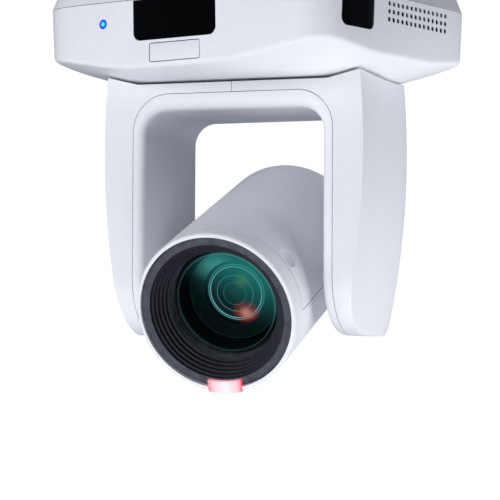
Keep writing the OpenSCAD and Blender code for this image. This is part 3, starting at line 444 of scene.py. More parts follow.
class Finish:
    """A procedural material, with its constants on the shader's own sockets."""

    def __init__(self, name, **constants):
        self.material = bpy.data.materials.new(name)
        self.material.use_nodes = True
        self.tree = self.material.node_tree
        self.shader = self.tree.nodes["Principled BSDF"]
        for socket, value in constants.items():
            self.shader.inputs[socket.replace("_", " ")].default_value = value
        self.place = self.node("TexCoord", {}, {}, "Object")

    def node(self, kind, settings, sockets, output=0):
        """A new node with its settings and its inputs, which are wires or constants."""
        made = self.tree.nodes.new("ShaderNode" + kind)
        for name, value in settings.items():
            if name == "stops":
                ramp = made.color_ramp.elements
                while len(ramp) < len(value):
                    ramp.new(0.5)
                for element, (position, colour) in zip(ramp, value):
                    element.position, element.color = position, colour
            else:
                setattr(made, name, value)
        for name, value in sockets.items():
            if isinstance(value, Wire):
                self.tree.links.new(value.socket, made.inputs[name])
            else:
                made.inputs[name].default_value = value
        return Wire(self, made.outputs[output])

    def noise(self, scale, detail=2.0):
        """Fractal noise about 0.5, with its scale in cycles per metre."""
        return self.node("TexNoise", {}, {"Vector": self.place, "Scale": scale, "Detail": detail})

    def ramp(self, value, *stops):
        """Colours along a value, each stop a (position, colour) pair."""
        return self.node("ValToRGB", {"stops": stops}, {"Fac": value})

    def mix(self, share, first, second):
        """The first colour where share is 0 and the second where it is 1."""
        return self.node("Mix", {"data_type": "RGBA"}, {0: share, 6: first, 7: second}, 2)

    def bump(self, height, distance, strength):
        """A relief, with its depth in metres."""
        return self.node("Bump", {}, {"Height": height, "Distance": distance, "Strength": strength})

    def worn_edges(self):
        """1 along convex edges, 0 elsewhere, broken up by noise."""
        crest = self.node("NewGeometry", {}, {}, "Pointiness")
        edge = self.node("MapRange", {}, {0: crest, 1: 0.51, 2: 0.58})
        return edge * self.noise(260, 3)

    def feed(self, **wires):
        """Links wires to the shader's sockets."""
        for socket, wire in wires.items():
            self.tree.links.new(wire.socket, self.shader.inputs[socket.replace("_", " ")])
        return self


def colour(red, green, blue):
    """A colour given in the usual 0 to 255 steps, made linear."""
    return (*(((c / 255 + 0.055) / 1.055) ** 2.4 for c in (red, green, blue)), 1)


def settle(piece, name, body, slot, *stands_for, finish, place=Matrix.Identity(4), angle=35):
    """Names a finished piece, scales it to metres, and puts it on its body."""
    placed(piece, Matrix.Scale(MM, 4) @ place)
    only(piece)
    bpy.ops.object.shade_smooth_by_angle(angle=math.radians(angle))
    piece.name = name
    piece.data.materials.clear()
    piece.data.materials.append(finish.material)
    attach(piece, body)
    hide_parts(*stands_for)
    return piece


def white_abs(name, painted_shade_mask=None):
    """Satin white ABS, painted near-black as shade wherever the given mask is 1."""
    white = Finish(name, Specular_IOR_Level=0.45, Coat_Roughness=0.3)
    grain = white.noise(5200, 3)
    flow = white.noise(24, 4)
    rubbed = white.worn_edges()
    tint = white.mix(flow, colour(233, 234, 240), colour(239, 239, 243))
    tint = white.mix(rubbed, tint, colour(226, 226, 229))
    if painted_shade_mask:
        tint = white.mix(painted_shade_mask(white), tint, colour(38, 40, 47))
    return white.feed(
        Base_Color=tint,
        Roughness=0.36 + 0.1 * flow - 0.12 * rubbed + 0.05 * grain,
        Normal=white.bump(grain, 0.00002, 0.5),
    )


def within(finish, low, high):
    """1 inside a block given in millimetres, 0 outside it."""
    inside = 1
    for axis, least, most in zip("XYZ", low, high):
        along = finish.node("SeparateXYZ", {}, {"Vector": finish.place}, axis)
        inside = inside * (along > least * MM) * (along < most * MM)
    return inside


def painted_shade_in_base(finish):
    """Painted shade: the groove behind the name plate, the vent holes and the inside of the base, coloured
    near-black.
    """
    groove = within(finish, (plate_low.x - 1, plate_face + 0.3, plate_low.z - 1),
                    (plate_high.x + 1, plate_face + 3, plate_high.z + 1))
    below_skin = BASE_HALF.x - 0.9
    vents = within(finish, VENT_START - Vector((below_skin, 2, 10)), VENT_START + Vector((below_skin, 58, 2)))
    return finish.node("Math", {"operation": "MAXIMUM"}, {0: groove, 1: vents})


white = white_abs("satin_white_abs")
base_white_with_painted_shade = white_abs("satin_white_base_painted_shade", painted_shade_in_base)
settle(base_shell, "base_shell_moulding", "base", "white_plastic", "base_shell", finish=base_white_with_painted_shade)
settle(name_plate, "blank_name_plate", "base", "white_plastic", "name_plate", finish=white)
settle(ceiling_cover, "ceiling_cover_moulding", "base", "white_plastic", "ceiling_cover", finish=white)

# ---- Gloss black of the windows ----
# Dark acrylic that looks black and lets infrared through: a mirror-smooth face with faint waves
# from moulding, hairline scratches and a trace of dust.
gloss = Finish("infrared_window_black", Specular_IOR_Level=0.12)
scratch = gloss.node("TexWave", {"wave_type": "BANDS", "bands_direction": "DIAGONAL"},
                     {"Vector": gloss.place, "Scale": 900, "Distortion": 12, "Detail": 3})
hairline = scratch > 0.985
dust = gloss.noise(1400, 4) > 0.68
gloss.feed(
    Base_Color=gloss.mix(dust * 0.25, colour(1, 1, 2), colour(16, 17, 19)),
    Roughness=0.03 + 0.12 * hairline + 0.15 * dust + 0.02 * gloss.noise(60),
    Normal=gloss.bump(gloss.noise(90, 1), 0.00004, 0.3),
)
for name, window in windows.items():
    round_edges(window, lambda e: e.calc_face_angle(0) > 1.2, 0.12, 2)
    settle(window, name + "_acrylic", "base", "black_gloss", name, finish=gloss)

# ---- Blue of the status light ----
# Clear acrylic lit from behind by an LED on the main board.
# It has a pale blue hot spot in the middle and turns deep blue towards the rim.
blue = Finish("blue_indicator", Roughness=0.15, Emission_Strength=1.6, IOR=1.49)
from_middle = blue.node("VectorMath", {"operation": "DISTANCE"},
                        {0: blue.place, 1: (led_x * MM, led_face * MM, led_z * MM)}, "Value")
spread = from_middle * (1 / (LED_R * MM)) + 0.12 * blue.noise(900) - 0.06
glow = blue.ramp(spread, (0.15, colour(60, 190, 255)), (0.6, colour(10, 90, 255)),
                 (0.95, colour(4, 14, 200)))
blue.feed(Base_Color=glow, Emission_Color=glow)
settle(status_led, "status_light_lens", "base", "blue_led", "status_led", finish=blue)

# ---- Metalwork ----
# Chassis, mount plate, frames, shafts, bearings and screws, seen at the back, on top and through gaps.
# Die castings have a grainy as-cast skin; turned and rolled pieces are nickel or zinc plated.
def paint(finish, *names):
    """Gives CAD nodes of the right shape a finish of their own."""
    for name in names:
        NODES[name].data.materials.clear()
        NODES[name].data.materials.append(finish.material)


cast = Finish("cast_aluminium", Metallic=1.0)
skin = cast.noise(1500, 5)
stain = cast.noise(60, 4)
cast.feed(
    Base_Color=cast.mix(stain, colour(168, 170, 174), colour(196, 198, 201)),
    Roughness=0.42 + 0.22 * stain - 0.15 * cast.worn_edges(),
    Normal=cast.bump(skin, 0.00008, 0.6),
)
paint(cast, "mount_plate", "base_chassis", "heat_sink", "pan_spindle", "pan_pulley", "yoke_frame",
      "head_frame", "tilt_pulley")

plated = Finish("plated_steel", Metallic=1.0)
brushed = plated.noise(2600, 4)
tarnish = plated.noise(120, 3)
plated.feed(
    Base_Color=plated.mix(tarnish, colour(186, 187, 190), colour(216, 216, 214)),
    Roughness=0.2 + 0.18 * tarnish + 0.1 * brushed - 0.08 * plated.worn_edges(),
    Normal=plated.bump(brushed, 0.00002, 0.5),
)
paint(plated, "base_screws", "cover_screws", "plate_screws", "yoke_screws", "head_screws", "pan_bearing",
      "tilt_bearings", "pan_motor_pulley", "tilt_motor_pulley", "pan_retaining_ring", "left_tilt_shaft",
      "right_tilt_shaft", "lens_motors", "network_socket", "hdmi_socket", "usb_socket", "sdi_socket")

brass = Finish("turned_brass", Metallic=1.0)
dulled = brass.noise(200, 4)
brass.feed(
    Base_Color=brass.mix(dulled, colour(190, 150, 82), colour(222, 184, 110)),
    Roughness=0.22 + 0.25 * dulled - 0.1 * brass.worn_edges(),
    Normal=brass.bump(brass.noise(2400, 3), 0.00003, 0.5),
)
paint(brass, "tripod_bushing")

# ---- Black plastic ----
# Textured black ABS and nylon: the socket panel, plug sockets, fan and motor cans.
# It has a fine grain with slightly polished edges. The belts are duller, softer rubber.
black = Finish("textured_black_abs", Specular_IOR_Level=0.4)
tooth = black.noise(3000, 4)
polish = black.worn_edges()
black.feed(
    Base_Color=black.mix(black.noise(80, 3), colour(22, 22, 25), colour(33, 33, 37)),
    Roughness=0.5 + 0.14 * tooth - 0.2 * polish,
    Normal=black.bump(tooth, 0.00005, 0.6),
)
paint(black, "socket_plate", "power_socket", "serial_socket", "audio_socket", "fan_frame", "fan_rotor",
      "pan_motor", "tilt_motor", "lens_barrel", "iris")

rubber = Finish("belt_rubber", Specular_IOR_Level=0.3)
rubber.feed(
    Base_Color=rubber.mix(rubber.noise(500, 4), colour(20, 20, 20), colour(38, 37, 36)),
    Roughness=0.7 + 0.2 * rubber.noise(900, 3),
    Normal=rubber.bump(rubber.noise(4000, 2), 0.00004, 0.7),
)
paint(rubber, "pan_belt", "tilt_belt")

# ---- Circuit boards ----
# Green glass-epoxy boards, screwed to the chassis and the frames.
# Copper tracks stand up a little under the solder mask, and the weave just shows.
board = Finish("solder_mask_green", Coat_Weight=0.4, Coat_Roughness=0.15)
cells = board.node("TexVoronoi", {"feature": "DISTANCE_TO_EDGE", "distance": "MANHATTAN"},
                   {"Vector": board.place, "Scale": 260}, "Distance")
track = cells < 0.05
weave = board.noise(2200, 2)
mask_green = board.mix(weave, colour(12, 62, 36), colour(20, 80, 46))
board.feed(
    Base_Color=board.mix(track, mask_green, colour(44, 120, 66)),
    Roughness=0.34 + 0.14 * weave - 0.1 * track,
    Normal=board.bump(track, 0.00004, 0.7),
)
paint(board, "main_board", "socket_board", "sensor_board")

# ---- Arm covers ----
# Two mouldings that make the outside of the yoke and meet at a short line in the middle of the crossbar.
# Their outer sides are bowed, and a crisp small radius runs down each arm and round its end.
tilt_joint = next(j for j in frame["joints"] if j["name"] == "tilt")
zoom_joint = next(j for j in frame["joints"] if j["name"] == "zoom_slide")
TILT_AXIS = Vector(tilt_joint["axis"]).normalized()
PIVOT_Z = tilt_joint["pos_m"][2] / MM
in_yoke = Matrix.Rotation(math.atan2(TILT_AXIS.y, TILT_AXIS.x), 4, "Z")
YOKE_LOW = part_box("left_arm_cover")[0].z / MM
YOKE_D = 76.4
YOKE_HALF_W = 70
YOKE_BULGE_R = 420
YOKE_WIDEST_Z = -89
YOKE_TOP = -40
PLAN_BULGE = 2.4
ARM_END_R = 30
ARM_END_BACK_R = 9.5
PAN_GAP = 1.3
GAP_HALF = 48.3
ARCH_Z = -69.3
ARCH_R = 12
SEAM_HALF = 53.9
SEAM_ARCH_Z = -60.8
SEAM_ARCH_R = 19
SEAM_GAP = 0.3
YOKE_WALL = 2.2
ARM_EDGE_R = 0.9
BOW_ROWS, BOW_ROW_PITCH = 24, 6
BOW_COLUMNS = 9


def split(piece, point, normal, **settings):
    """Cuts the faces of a piece along a plane."""
    edit(piece, "FACE", everything)
    bpy.ops.mesh.bisect(plane_co=point, plane_no=normal, **settings)
    done()
    return piece


def yoke_block(inset, bowed=True):
    """The yoke's outer form: flat front and back, rounded arm ends and bowed outer sides."""
    half_w, half_d, low = YOKE_HALF_W - inset, YOKE_D / 2 - inset, YOKE_LOW + inset
    block = box((-half_w, -half_d, low), (half_w, half_d, YOKE_TOP))
    for facing, radius in ((-1, ARM_END_R), (1, ARM_END_BACK_R)):
        round_edges(block, lambda e: max(v.co.z for v in e.verts) < low + 0.1
                    and min(v.co.y * facing for v in e.verts) > half_d - 0.1, radius - inset, 24)
    if bowed:
        rows = (BOW_ROWS, (0, 0, 1), low + 2, BOW_ROW_PITCH)
        columns = (BOW_COLUMNS, (0, 1, 0), -half_d * 0.8, half_d * 0.2)
        for cuts, direction, start, pitch in (rows, columns):
            for step in range(cuts):
                split(block, Vector(direction) * (start + pitch * step), direction)
        for vertex in block.data.vertices:
            x, y, z = vertex.co
            drop = YOKE_BULGE_R - math.sqrt(YOKE_BULGE_R**2 - (z - YOKE_WIDEST_Z) ** 2)
            plan = PLAN_BULGE * (1 - (y / half_d) ** 2)
            vertex.co.x = math.copysign(half_w - drop + plan, x)
    return block


def arch_block(half, top, radius):
    """The opening between the arms, or the same shape a little larger."""
    block = box((-half, -YOKE_D, YOKE_LOW - 20), (half, YOKE_D, top))
    along_yoke = runs_along(1)
    return round_edges(block, lambda e: along_yoke(e) and e.verts[0].co.z > top - 0.1, radius, 20)


def under_base():
    """What the yoke stays clear of: the base's underside and a gap."""
    depth = 24
    top = UNDERSIDE_Z - PAN_GAP + depth
    return add("cone", vertices=192, radius1=FLAT_R, radius2=FLAT_R + depth / CONE_SLOPE, depth=depth,
               location=(0, 0, top - depth / 2))


def outer_crease(edge):
    """An edge between an outer side of the yoke and what is round it."""
    if len(edge.link_faces) != 2:
        return False
    across = sorted(abs(face.normal.x) for face in edge.link_faces)
    return across[0] < 0.5 and across[1] > 0.8


covers = round_edges(yoke_block(0), outer_crease, ARM_EDGE_R, 4)
cut(covers, arch_block(SEAM_HALF + SEAM_GAP, SEAM_ARCH_Z + SEAM_GAP, SEAM_ARCH_R + SEAM_GAP))
cut(covers, under_base())
inner = yoke_block(YOKE_WALL)
cut(inner, placed(under_base(), Matrix.Translation((0, 0, -YOKE_WALL))))
cut(covers, inner)
cut(covers, spindle_hole())
for side, name in ((-1, "left"), (1, "right")):
    cover = split(twin(covers), (side * SEAM_GAP / 2, 0, 0), (side, 0, 0), use_fill=True, clear_inner=True)
    settle(cover, f"{name}_arm_cover_moulding", "yoke", "white_plastic", f"{name}_arm_cover",
           finish=white, place=in_yoke)
bpy.data.objects.remove(covers)

# ---- Arch liners ----
# The inner mouldings of the arch, one in front and one behind, which clip to the yoke frame.
# A soft 4.4 mm radius leads from the front face into the gap where the head turns.
LINER_SPLIT = 8.8
SOFT_R = 4.4
HUB_HOLE_R = 8


def inner_crease(edge):
    """An edge between the gap's own faces and the front, the back or the arm ends."""
    if len(edge.link_faces) != 2:
        return False
    spot = (edge.verts[0].co + edge.verts[1].co) / 2
    inside = abs(spot.x) < GAP_HALF + 0.1 and spot.z < ARCH_Z + 0.1
    return inside and edge.calc_face_angle(0) > 0.9


liner = yoke_block(0, bowed=False)
cut(liner, arch_block(SEAM_HALF, SEAM_ARCH_Z, SEAM_ARCH_R), "INTERSECT")
cut(liner, arch_block(GAP_HALF, ARCH_Z, ARCH_R))
round_edges(liner, inner_crease, SOFT_R, 7)
hollow = yoke_block(YOKE_WALL, bowed=False)
cut(hollow, arch_block(GAP_HALF + SOFT_R + 0.6, ARCH_Z + SOFT_R, ARCH_R + SOFT_R))
cut(liner, hollow)
facing_side = Matrix.Rotation(math.radians(90), 4, "Y")
hub_hole = add("cylinder", vertices=64, radius=HUB_HOLE_R, depth=160)
cut(liner, placed(hub_hole, Matrix.Translation((0, 0, PIVOT_Z)) @ facing_side))
for side, name in ((-1, "front"), (1, "rear")):
    split_y = LINER_SPLIT + (side - 1) * SEAM_GAP / 4
    part = split(twin(liner), (0, split_y, 0), (0, side, 0), use_fill=True, clear_inner=True)
    settle(part, f"{name}_arch_liner_moulding", "yoke", "white_plastic", f"{name}_arch_liner",
           finish=white, place=in_yoke)
bpy.data.objects.remove(liner)

# ---- Head shells ----
# The lower shell carries the whole front collar; the upper shell closes the barrel behind it.
# Both are white ABS, screwed together at the two round recesses on the sides of the barrel.
LENS_AXIS = Vector(zoom_joint["axis"]).normalized()
UP_AXIS = LENS_AXIS.cross(TILT_AXIS)
in_head = Matrix.Translation((0, 0, PIVOT_Z)) @ Matrix((TILT_AXIS, UP_AXIS, LENS_AXIS)).transposed().to_4x4()
HEAD_R = 42
HEAD_FRONT = 64
LIP_R, LIP_FACE = 1.2, 0.7
COLLAR_DRAFT, BARREL_DRAFT = 0.1, 0.3
COLLAR_END, BARREL_START = 60, 48
HEAD_BACK_R = 40
HEAD_BACK = -56
BACK_ROUND = 13
HEAD_WALL = 2.2
TAPER_START = 37
COLLAR_BACK = 52
RING_R = 39.7
SPLIT_Y = -3
HUB_R = 12.5
HEAD_GAP = 0.5
HUB_X = 47.5
HUB_START, HUB_EDGE_R = 28, 0.8
SHAFT_HOLE_R = 6.3
HEAD_STEPS = 160
BORE_R = RING_R + 0.3
AROUND_HEAD = 60


def head_block(inset, front):
    """The tapered barrel with its rounded back, front being how far it reaches."""
    points = [(0, front)]
    if inset == 0:
        points += [(HEAD_R - LIP_R - LIP_FACE, front), *arc(HEAD_R - LIP_R, front - LIP_R, LIP_R, 90, 0, 6),
                   (HEAD_R, COLLAR_END)]
    else:
        points += [(HEAD_R - inset, front)]
    points += [(HEAD_R - COLLAR_DRAFT - inset, BARREL_START), (HEAD_R - BARREL_DRAFT - inset, TAPER_START)]
    points += arc(HEAD_BACK_R - BACK_ROUND, HEAD_BACK, BACK_ROUND - inset, 0, -90, 16)
    points += [(0, HEAD_BACK - BACK_ROUND + inset)]
    return turned(points, HEAD_STEPS)


casing = head_block(0, HEAD_FRONT)
for side in (-1, 1):
    hub_edge = arc(HUB_R - HUB_EDGE_R, HUB_X - HUB_EDGE_R, HUB_EDGE_R, 0, 90, 4)
    hub = turned([(0, HUB_START), (HUB_R, HUB_START), *hub_edge, (0, HUB_X)], 96)
    cut(casing, placed(hub, Matrix.Rotation(side * math.radians(90), 4, "Y")), "UNION")
cut(casing, head_block(HEAD_WALL, COLLAR_BACK - 0.6))
bore_back, bore_front = COLLAR_BACK - 2, HEAD_FRONT + OVERCUT
cut(casing, turned([(0, bore_back), (BORE_R, bore_back), (BORE_R, bore_front), (0, bore_front)], HEAD_STEPS))
cut(casing, placed(add("cylinder", vertices=64, radius=SHAFT_HOLE_R, depth=100), facing_side))

# ---- Tally light ----
# A red light that shows when the camera is live: a curved block of milky acrylic let into the lower rim.
# It glows pink all over, brightest in the middle.
TALLY_W = 18
TALLY_IN_R = HEAD_R - 5.6
TALLY_OUT_R = HEAD_R + 0.6
TALLY_BACK = 58.5
TALLY_FRONT = HEAD_FRONT + 0.4
TALLY_GAP = 0.15


def tally_block(gap):
    """The part of a ring round the lens that the light fills, larger all round by a gap."""
    inner_r, outer_r = TALLY_IN_R - gap, TALLY_OUT_R + gap
    back, front = TALLY_BACK - gap, TALLY_FRONT + gap
    block = turned([(inner_r, back), (outer_r, back), (outer_r, front), (inner_r, front), (inner_r, back)],
                   HEAD_STEPS)
    half = TALLY_W / 2 + gap
    return cut(block, box((-half, -AROUND_HEAD, 40), (half, -20, 80)), "INTERSECT")


cut(casing, tally_block(TALLY_GAP))
tally = tally_block(0)
round_edges(tally, lambda e: e.calc_face_angle(0) > 1.0, 0.7, 4)

# ---- Screw recesses and split ----
# A shallow round hollow on each side of the barrel, where the screws hold the shells together,
# and the fine joint that parts the upper shell from the lower one.
DIMPLE_ANGLE = math.radians(33)
DIMPLE_Z = 45
DIMPLE_R = 5.5
DIMPLE_DEPTH = 2.0
for side in (-1, 1):
    around = DIMPLE_ANGLE if side > 0 else math.pi - DIMPLE_ANGLE
    bowl = add("uv_sphere", segments=96, ring_count=48, radius=DIMPLE_R,
               scale=(DIMPLE_DEPTH / DIMPLE_R, 1, 1))
    bpy.ops.object.transform_apply(scale=True)
    cut(casing, placed(bowl, Matrix.Rotation(around, 4, "Z") @ Matrix.Translation((HEAD_R, 0, DIMPLE_Z))))



def upper_space(gap):
    """The space above the joint and behind the collar, smaller by a gap."""
    low = (-AROUND_HEAD, SPLIT_Y + gap, HEAD_BACK - BACK_ROUND - OVERCUT)
    return box(low, (AROUND_HEAD, AROUND_HEAD, COLLAR_BACK - gap))


lower_shell = cut(twin(casing), upper_space(0))
upper_shell = cut(casing, upper_space(HEAD_GAP), "INTERSECT")


def lens_place(finish):
    """Object coordinates in the lens frame: Z along the lens axis, X along the tilt axis."""
    return finish.node("Mapping", {"vector_type": "TEXTURE"}, {
        "Vector": finish.place, "Location": Vector((0, 0, PIVOT_Z * MM)), "Rotation": in_head.to_euler()})


def from_axis(finish, x=0, y=0):
    """Distance from the lens axis, or from a line beside it, in millimetres."""
    flat = finish.node("VectorMath", {"operation": "MULTIPLY"}, {0: lens_place(finish), 1: (1, 1, 0)})
    line = (x * MM, y * MM, 0)
    return finish.node("VectorMath", {"operation": "DISTANCE"}, {0: flat, 1: line}, "Value") * (1 / MM)


def painted_shade_in_head(finish):
    """Painted shade: the inside of the barrel, in front of its rounded back, coloured near-black."""
    back = finish.node("SeparateXYZ", {}, {"Vector": lens_place(finish)}, "Z")
    return (from_axis(finish) < HEAD_BACK_R - 0.8) * (back > (HEAD_BACK - 1) * MM)


head_white_with_painted_shade = white_abs("satin_white_head_painted_shade", painted_shade_in_head)
settle(lower_shell, "lower_head_moulding", "head", "white_plastic", "lower_head_shell",
       finish=head_white_with_painted_shade, place=in_head)
settle(upper_shell, "upper_head_moulding", "head", "white_plastic", "upper_head_shell",
       finish=head_white_with_painted_shade, place=in_head)

milky = Finish("tally_acrylic", Roughness=0.25, Emission_Strength=0.5, IOR=1.49)
sideways = milky.node("SeparateXYZ", {}, {"Vector": lens_place(milky)}, "X")
fade = milky.node("Math", {"operation": "ABSOLUTE"}, {0: sideways}) * (2 / (TALLY_W * MM))
pink = milky.ramp(fade + 0.1 * milky.noise(400) - 0.05, (0.0, colour(255, 206, 212)),
                  (0.75, colour(252, 172, 180)), (1.0, colour(240, 96, 112)))
milky.feed(Base_Color=pink, Emission_Color=pink)
settle(tally, "tally_light_acrylic", "head", "tally_red", "tally_light", finish=milky, place=in_head)

# ---- Lens ring ----
# The black ring round the lens: a flat satin face, five stepped ridges that break up stray light,
# and a dull tunnel down to the front lens. It snaps into the collar from the front.
RING_Z = 62.5
RING_FACE = 4.3
STEP_IN, STEP_BACK = 1.35, 2
STEPS = 5
TUNNEL_END = 43.5
TUNNEL_WALL = 1.6
OUTER_CHAMFER, INNER_CHAMFER = 0.4, 0.3
ring_back = COLLAR_BACK + 1
face_r = RING_R - RING_FACE
points = [(RING_R, ring_back), (RING_R, RING_Z - OUTER_CHAMFER), (RING_R - OUTER_CHAMFER, RING_Z),
          (face_r + INNER_CHAMFER, RING_Z), (face_r, RING_Z - INNER_CHAMFER)]
for step in range(STEPS):
    wall_r, floor_z = face_r - step * STEP_IN, RING_Z - (step + 1) * STEP_BACK
    points += [(wall_r + 0.15, floor_z + 0.5), (wall_r + 0.1, floor_z), (wall_r - STEP_IN + 0.35, floor_z),
               (wall_r - STEP_IN + 0.1, floor_z + 0.18), (wall_r - STEP_IN, floor_z - 0.1)]
tunnel_r = face_r - STEPS * STEP_IN
points += [(tunnel_r, TUNNEL_END), (tunnel_r + TUNNEL_WALL, TUNNEL_END), (tunnel_r + TUNNEL_WALL, ring_back),
           (RING_R, ring_back)]
lens_ring = turned(points, HEAD_STEPS)
cut(lens_ring, tally_block(TALLY_GAP))

satin = Finish("satin_black_ring", Specular_IOR_Level=0.4)
fine = satin.noise(4200, 3)
crest_highlight_and_wear = satin.worn_edges()
# Painted shade and highlight: faces that look along the lens axis keep the satin grey, the step walls and the
# tunnel are coloured near-black as shade, and convex crests are painted a lighter grey as highlight, where
# they are also a little less rough from wear.
facing = satin.node("VectorMath", {"operation": "DOT_PRODUCT"}, {
    0: satin.node("TexCoord", {}, {}, "Normal"), 1: LENS_AXIS}, "Value")
flat_face = satin.node("MapRange", {}, {0: facing, 1: 0.55, 2: 0.95})
satin_grey = satin.mix(satin.noise(70, 3), colour(46, 46, 54), colour(56, 56, 65))
satin.feed(
    Base_Color=satin.mix(crest_highlight_and_wear, satin.mix(flat_face, colour(3, 3, 4), satin_grey), colour(104, 105, 114)),
    Roughness=0.38 + 0.12 * fine - 0.15 * crest_highlight_and_wear,
    Normal=satin.bump(fine, 0.00003, 0.5),
)
settle(lens_ring, "stepped_lens_ring", "head", "black_plastic", "lens_ring",
       finish=satin, place=in_head, angle=25)

# ---- Front lens ----
# The front doublet: a domed outer element with an anti-reflection coating, and a rear element. The coating's
# teal is a painted reflection, strong towards the top right and dark at the lower left, and the thin bright
# circle near the rim is a painted highlight. It is clamped against the end of the tunnel.
GLASS_R = 26.8
GLASS_Z = TUNNEL_END + 1
DOME_R = 75
INNER_R, INNER_ANGLE = 95, 16.2
GLASS_EDGE_LOW, GLASS_EDGE_HIGH = GLASS_Z + 2.2, GLASS_Z + 3
crown = DOME_R - math.sqrt(DOME_R**2 - GLASS_R**2)
rim_angle = math.degrees(math.asin(GLASS_R / DOME_R))
inner_top = GLASS_EDGE_HIGH - 0.4 + crown * 0.6
front_glass = turned([
    *arc(0, inner_top - INNER_R, INNER_R, 90, 90 - INNER_ANGLE, 12),
    (GLASS_R, GLASS_EDGE_LOW), (GLASS_R, GLASS_EDGE_HIGH),
    *arc(0, GLASS_EDGE_HIGH + crown - DOME_R, DOME_R, 90 - rim_angle, 90, 20)], HEAD_STEPS)

coated = Finish("coated_glass_painted_reflection", Roughness=0.03, Specular_IOR_Level=0.5)
# Painted reflection: teal towards the top right and near-black towards the lower left, and a painted
# highlight in a thin bright ring near the rim. Both also make the glass less clear there.
along = coated.node("VectorMath", {"operation": "DOT_PRODUCT"},
                    {0: lens_place(coated), 1: (0.55, 0.83, 0)}, "Value")
painted_reflection_sweep = coated.node("MapRange", {"interpolation_type": "SMOOTHSTEP"}, {0: along, 1: -0.006, 2: 0.027})
rim = from_axis(coated)
painted_rim_highlight = (rim > 25.7) * (rim < 26.2)
teal = coated.mix(painted_reflection_sweep, colour(16, 14, 15), colour(36, 150, 142))
coated.feed(Base_Color=coated.mix(painted_rim_highlight * 0.5, teal, colour(150, 196, 196)))
clear = coated.node("BsdfTransparent", {}, {"Color": (0.75, 0.93, 0.92, 1)})
layer = coated.node("LayerWeight", {}, {"Blend": 0.3}, "Fresnel")
coating = Wire(coated, coated.shader.outputs[0])
veil = 0.03 + 0.42 * painted_reflection_sweep + 0.2 * layer + 0.12 * painted_rim_highlight
film = coated.node("MixShader", {}, {0: veil, 1: clear, 2: coating})
coated.tree.links.new(film.socket, coated.tree.nodes["Material Output"].inputs["Surface"])
settle(front_glass, "front_lens_glass", "head", "coated_glass", "front_lens", finish=coated, place=in_head)

# ---- Zoom group ----
# The lens group that slides along the barrel when the camera zooms: a black cell with stepped
# retaining rings and a strongly curved element. The cell's crests carry a painted highlight and a glowing
# painted glint, and the element's bright rings and its red and amber patches are painted reflections that
# glow.
ZOOM_Z = 26
CELL_R = 23.5
CELL_LIP = 0.6
CELL_FRONT = ZOOM_Z + 10.4
CELL_RINGS = 8
RING_DROP, RING_DEPTH = 0.4, 0.5
ZOOM_T = 8
ZOOM_R = 17
ring_pitch = (CELL_R - CELL_LIP - ZOOM_R) / CELL_RINGS
cell = [(CELL_R, ZOOM_Z), (CELL_R, CELL_FRONT), (CELL_R - CELL_LIP, CELL_FRONT)]
for step in range(CELL_RINGS):
    r, z = CELL_R - CELL_LIP - step * ring_pitch, CELL_FRONT - step * RING_DROP
    cell += [(r - 0.25 * ring_pitch, z - RING_DEPTH), (r - 0.7 * ring_pitch, z - RING_DEPTH),
             (r - 0.85 * ring_pitch, z)]
cell += [(ZOOM_R, ZOOM_Z + ZOOM_T - 1), (ZOOM_R, ZOOM_Z), (CELL_R, ZOOM_Z)]
zoom_cell = turned(cell, 128)
zoom_bend = 2.2 * ZOOM_R
zoom_rim = math.degrees(math.asin(ZOOM_R / zoom_bend))
zoom_back, zoom_top = ZOOM_Z + 1, ZOOM_Z + 9
zoom_glass = turned([(0, zoom_back), (ZOOM_R - 0.05, zoom_back),
                     *arc(0, zoom_top - zoom_bend, zoom_bend, 90 - zoom_rim, 90, 16)], 128)


def spot(finish, x, y, radius):
    """1 in the middle of a round patch of reflected colour, fading to 0 at its rim."""
    return finish.node("MapRange", {"interpolation_type": "SMOOTHSTEP"},
                       {0: from_axis(finish, x, y), 1: radius, 2: 0.0, 3: 0.0, 4: 1.0})


threaded = Finish("blackened_cell", Emission_Strength=1.2, Specular_IOR_Level=0.5)
# Painted highlight: the ring crests are coloured lighter than the grooves, and a round patch of them at the
# upper left is painted near-white and glows by emission as a glint.
groove = threaded.node("Math", {"operation": "PINGPONG"}, {0: from_axis(threaded), 1: ring_pitch / 2})
crest = threaded.node("MapRange", {}, {0: groove * (2 / ring_pitch), 1: 0.55, 2: 0.9})
gleam = spot(threaded, -9, 15, 13) * crest
lit_rings = threaded.mix(crest, colour(6, 8, 10), colour(62, 84, 90))
threaded.feed(
    Base_Color=threaded.mix(gleam, lit_rings, colour(190, 236, 240)),
    Emission_Color=threaded.mix(gleam, colour(0, 0, 0), colour(150, 226, 232)),
    Roughness=0.3 + 0.2 * threaded.noise(800),
)
settle(zoom_cell, "zoom_group_cell", "zoom_group", "black_plastic", "zoom_lens_group",
       finish=threaded, place=in_head, angle=25)

zoom_glass_reflections = Finish("zoom_glass_painted_reflections", Roughness=0.03, Specular_IOR_Level=0.5, Emission_Strength=0.7)
# Painted reflections: the thin bright rings, a red patch with a brighter core and an amber patch stand for
# light reflected in the glass, and they glow by emission. The same finish goes on the focus group and the
# infrared filter.
radial = from_axis(zoom_glass_reflections) * (1 / ZOOM_R)
DEEP = colour(12, 20, 24)
painted_ring_highlights = zoom_glass_reflections.ramp(
    radial, (0.0, colour(24, 30, 34)), (0.33, DEEP), (0.35, colour(70, 96, 100)), (0.37, DEEP),
    (0.55, DEEP), (0.565, colour(110, 148, 152)), (0.585, colour(22, 34, 38)), (0.79, colour(18, 30, 34)),
    (0.81, colour(190, 226, 232)), (0.83, colour(30, 52, 58)), (0.86, colour(30, 60, 66)),
    (0.875, colour(130, 176, 182)), (0.9, colour(16, 30, 34)), (1.0, colour(10, 14, 18)))
painted_red_reflection = spot(zoom_glass_reflections, 4.5, -11, 8.5)
painted_red_reflection_core = spot(zoom_glass_reflections, 4.5, -11, 4.5)
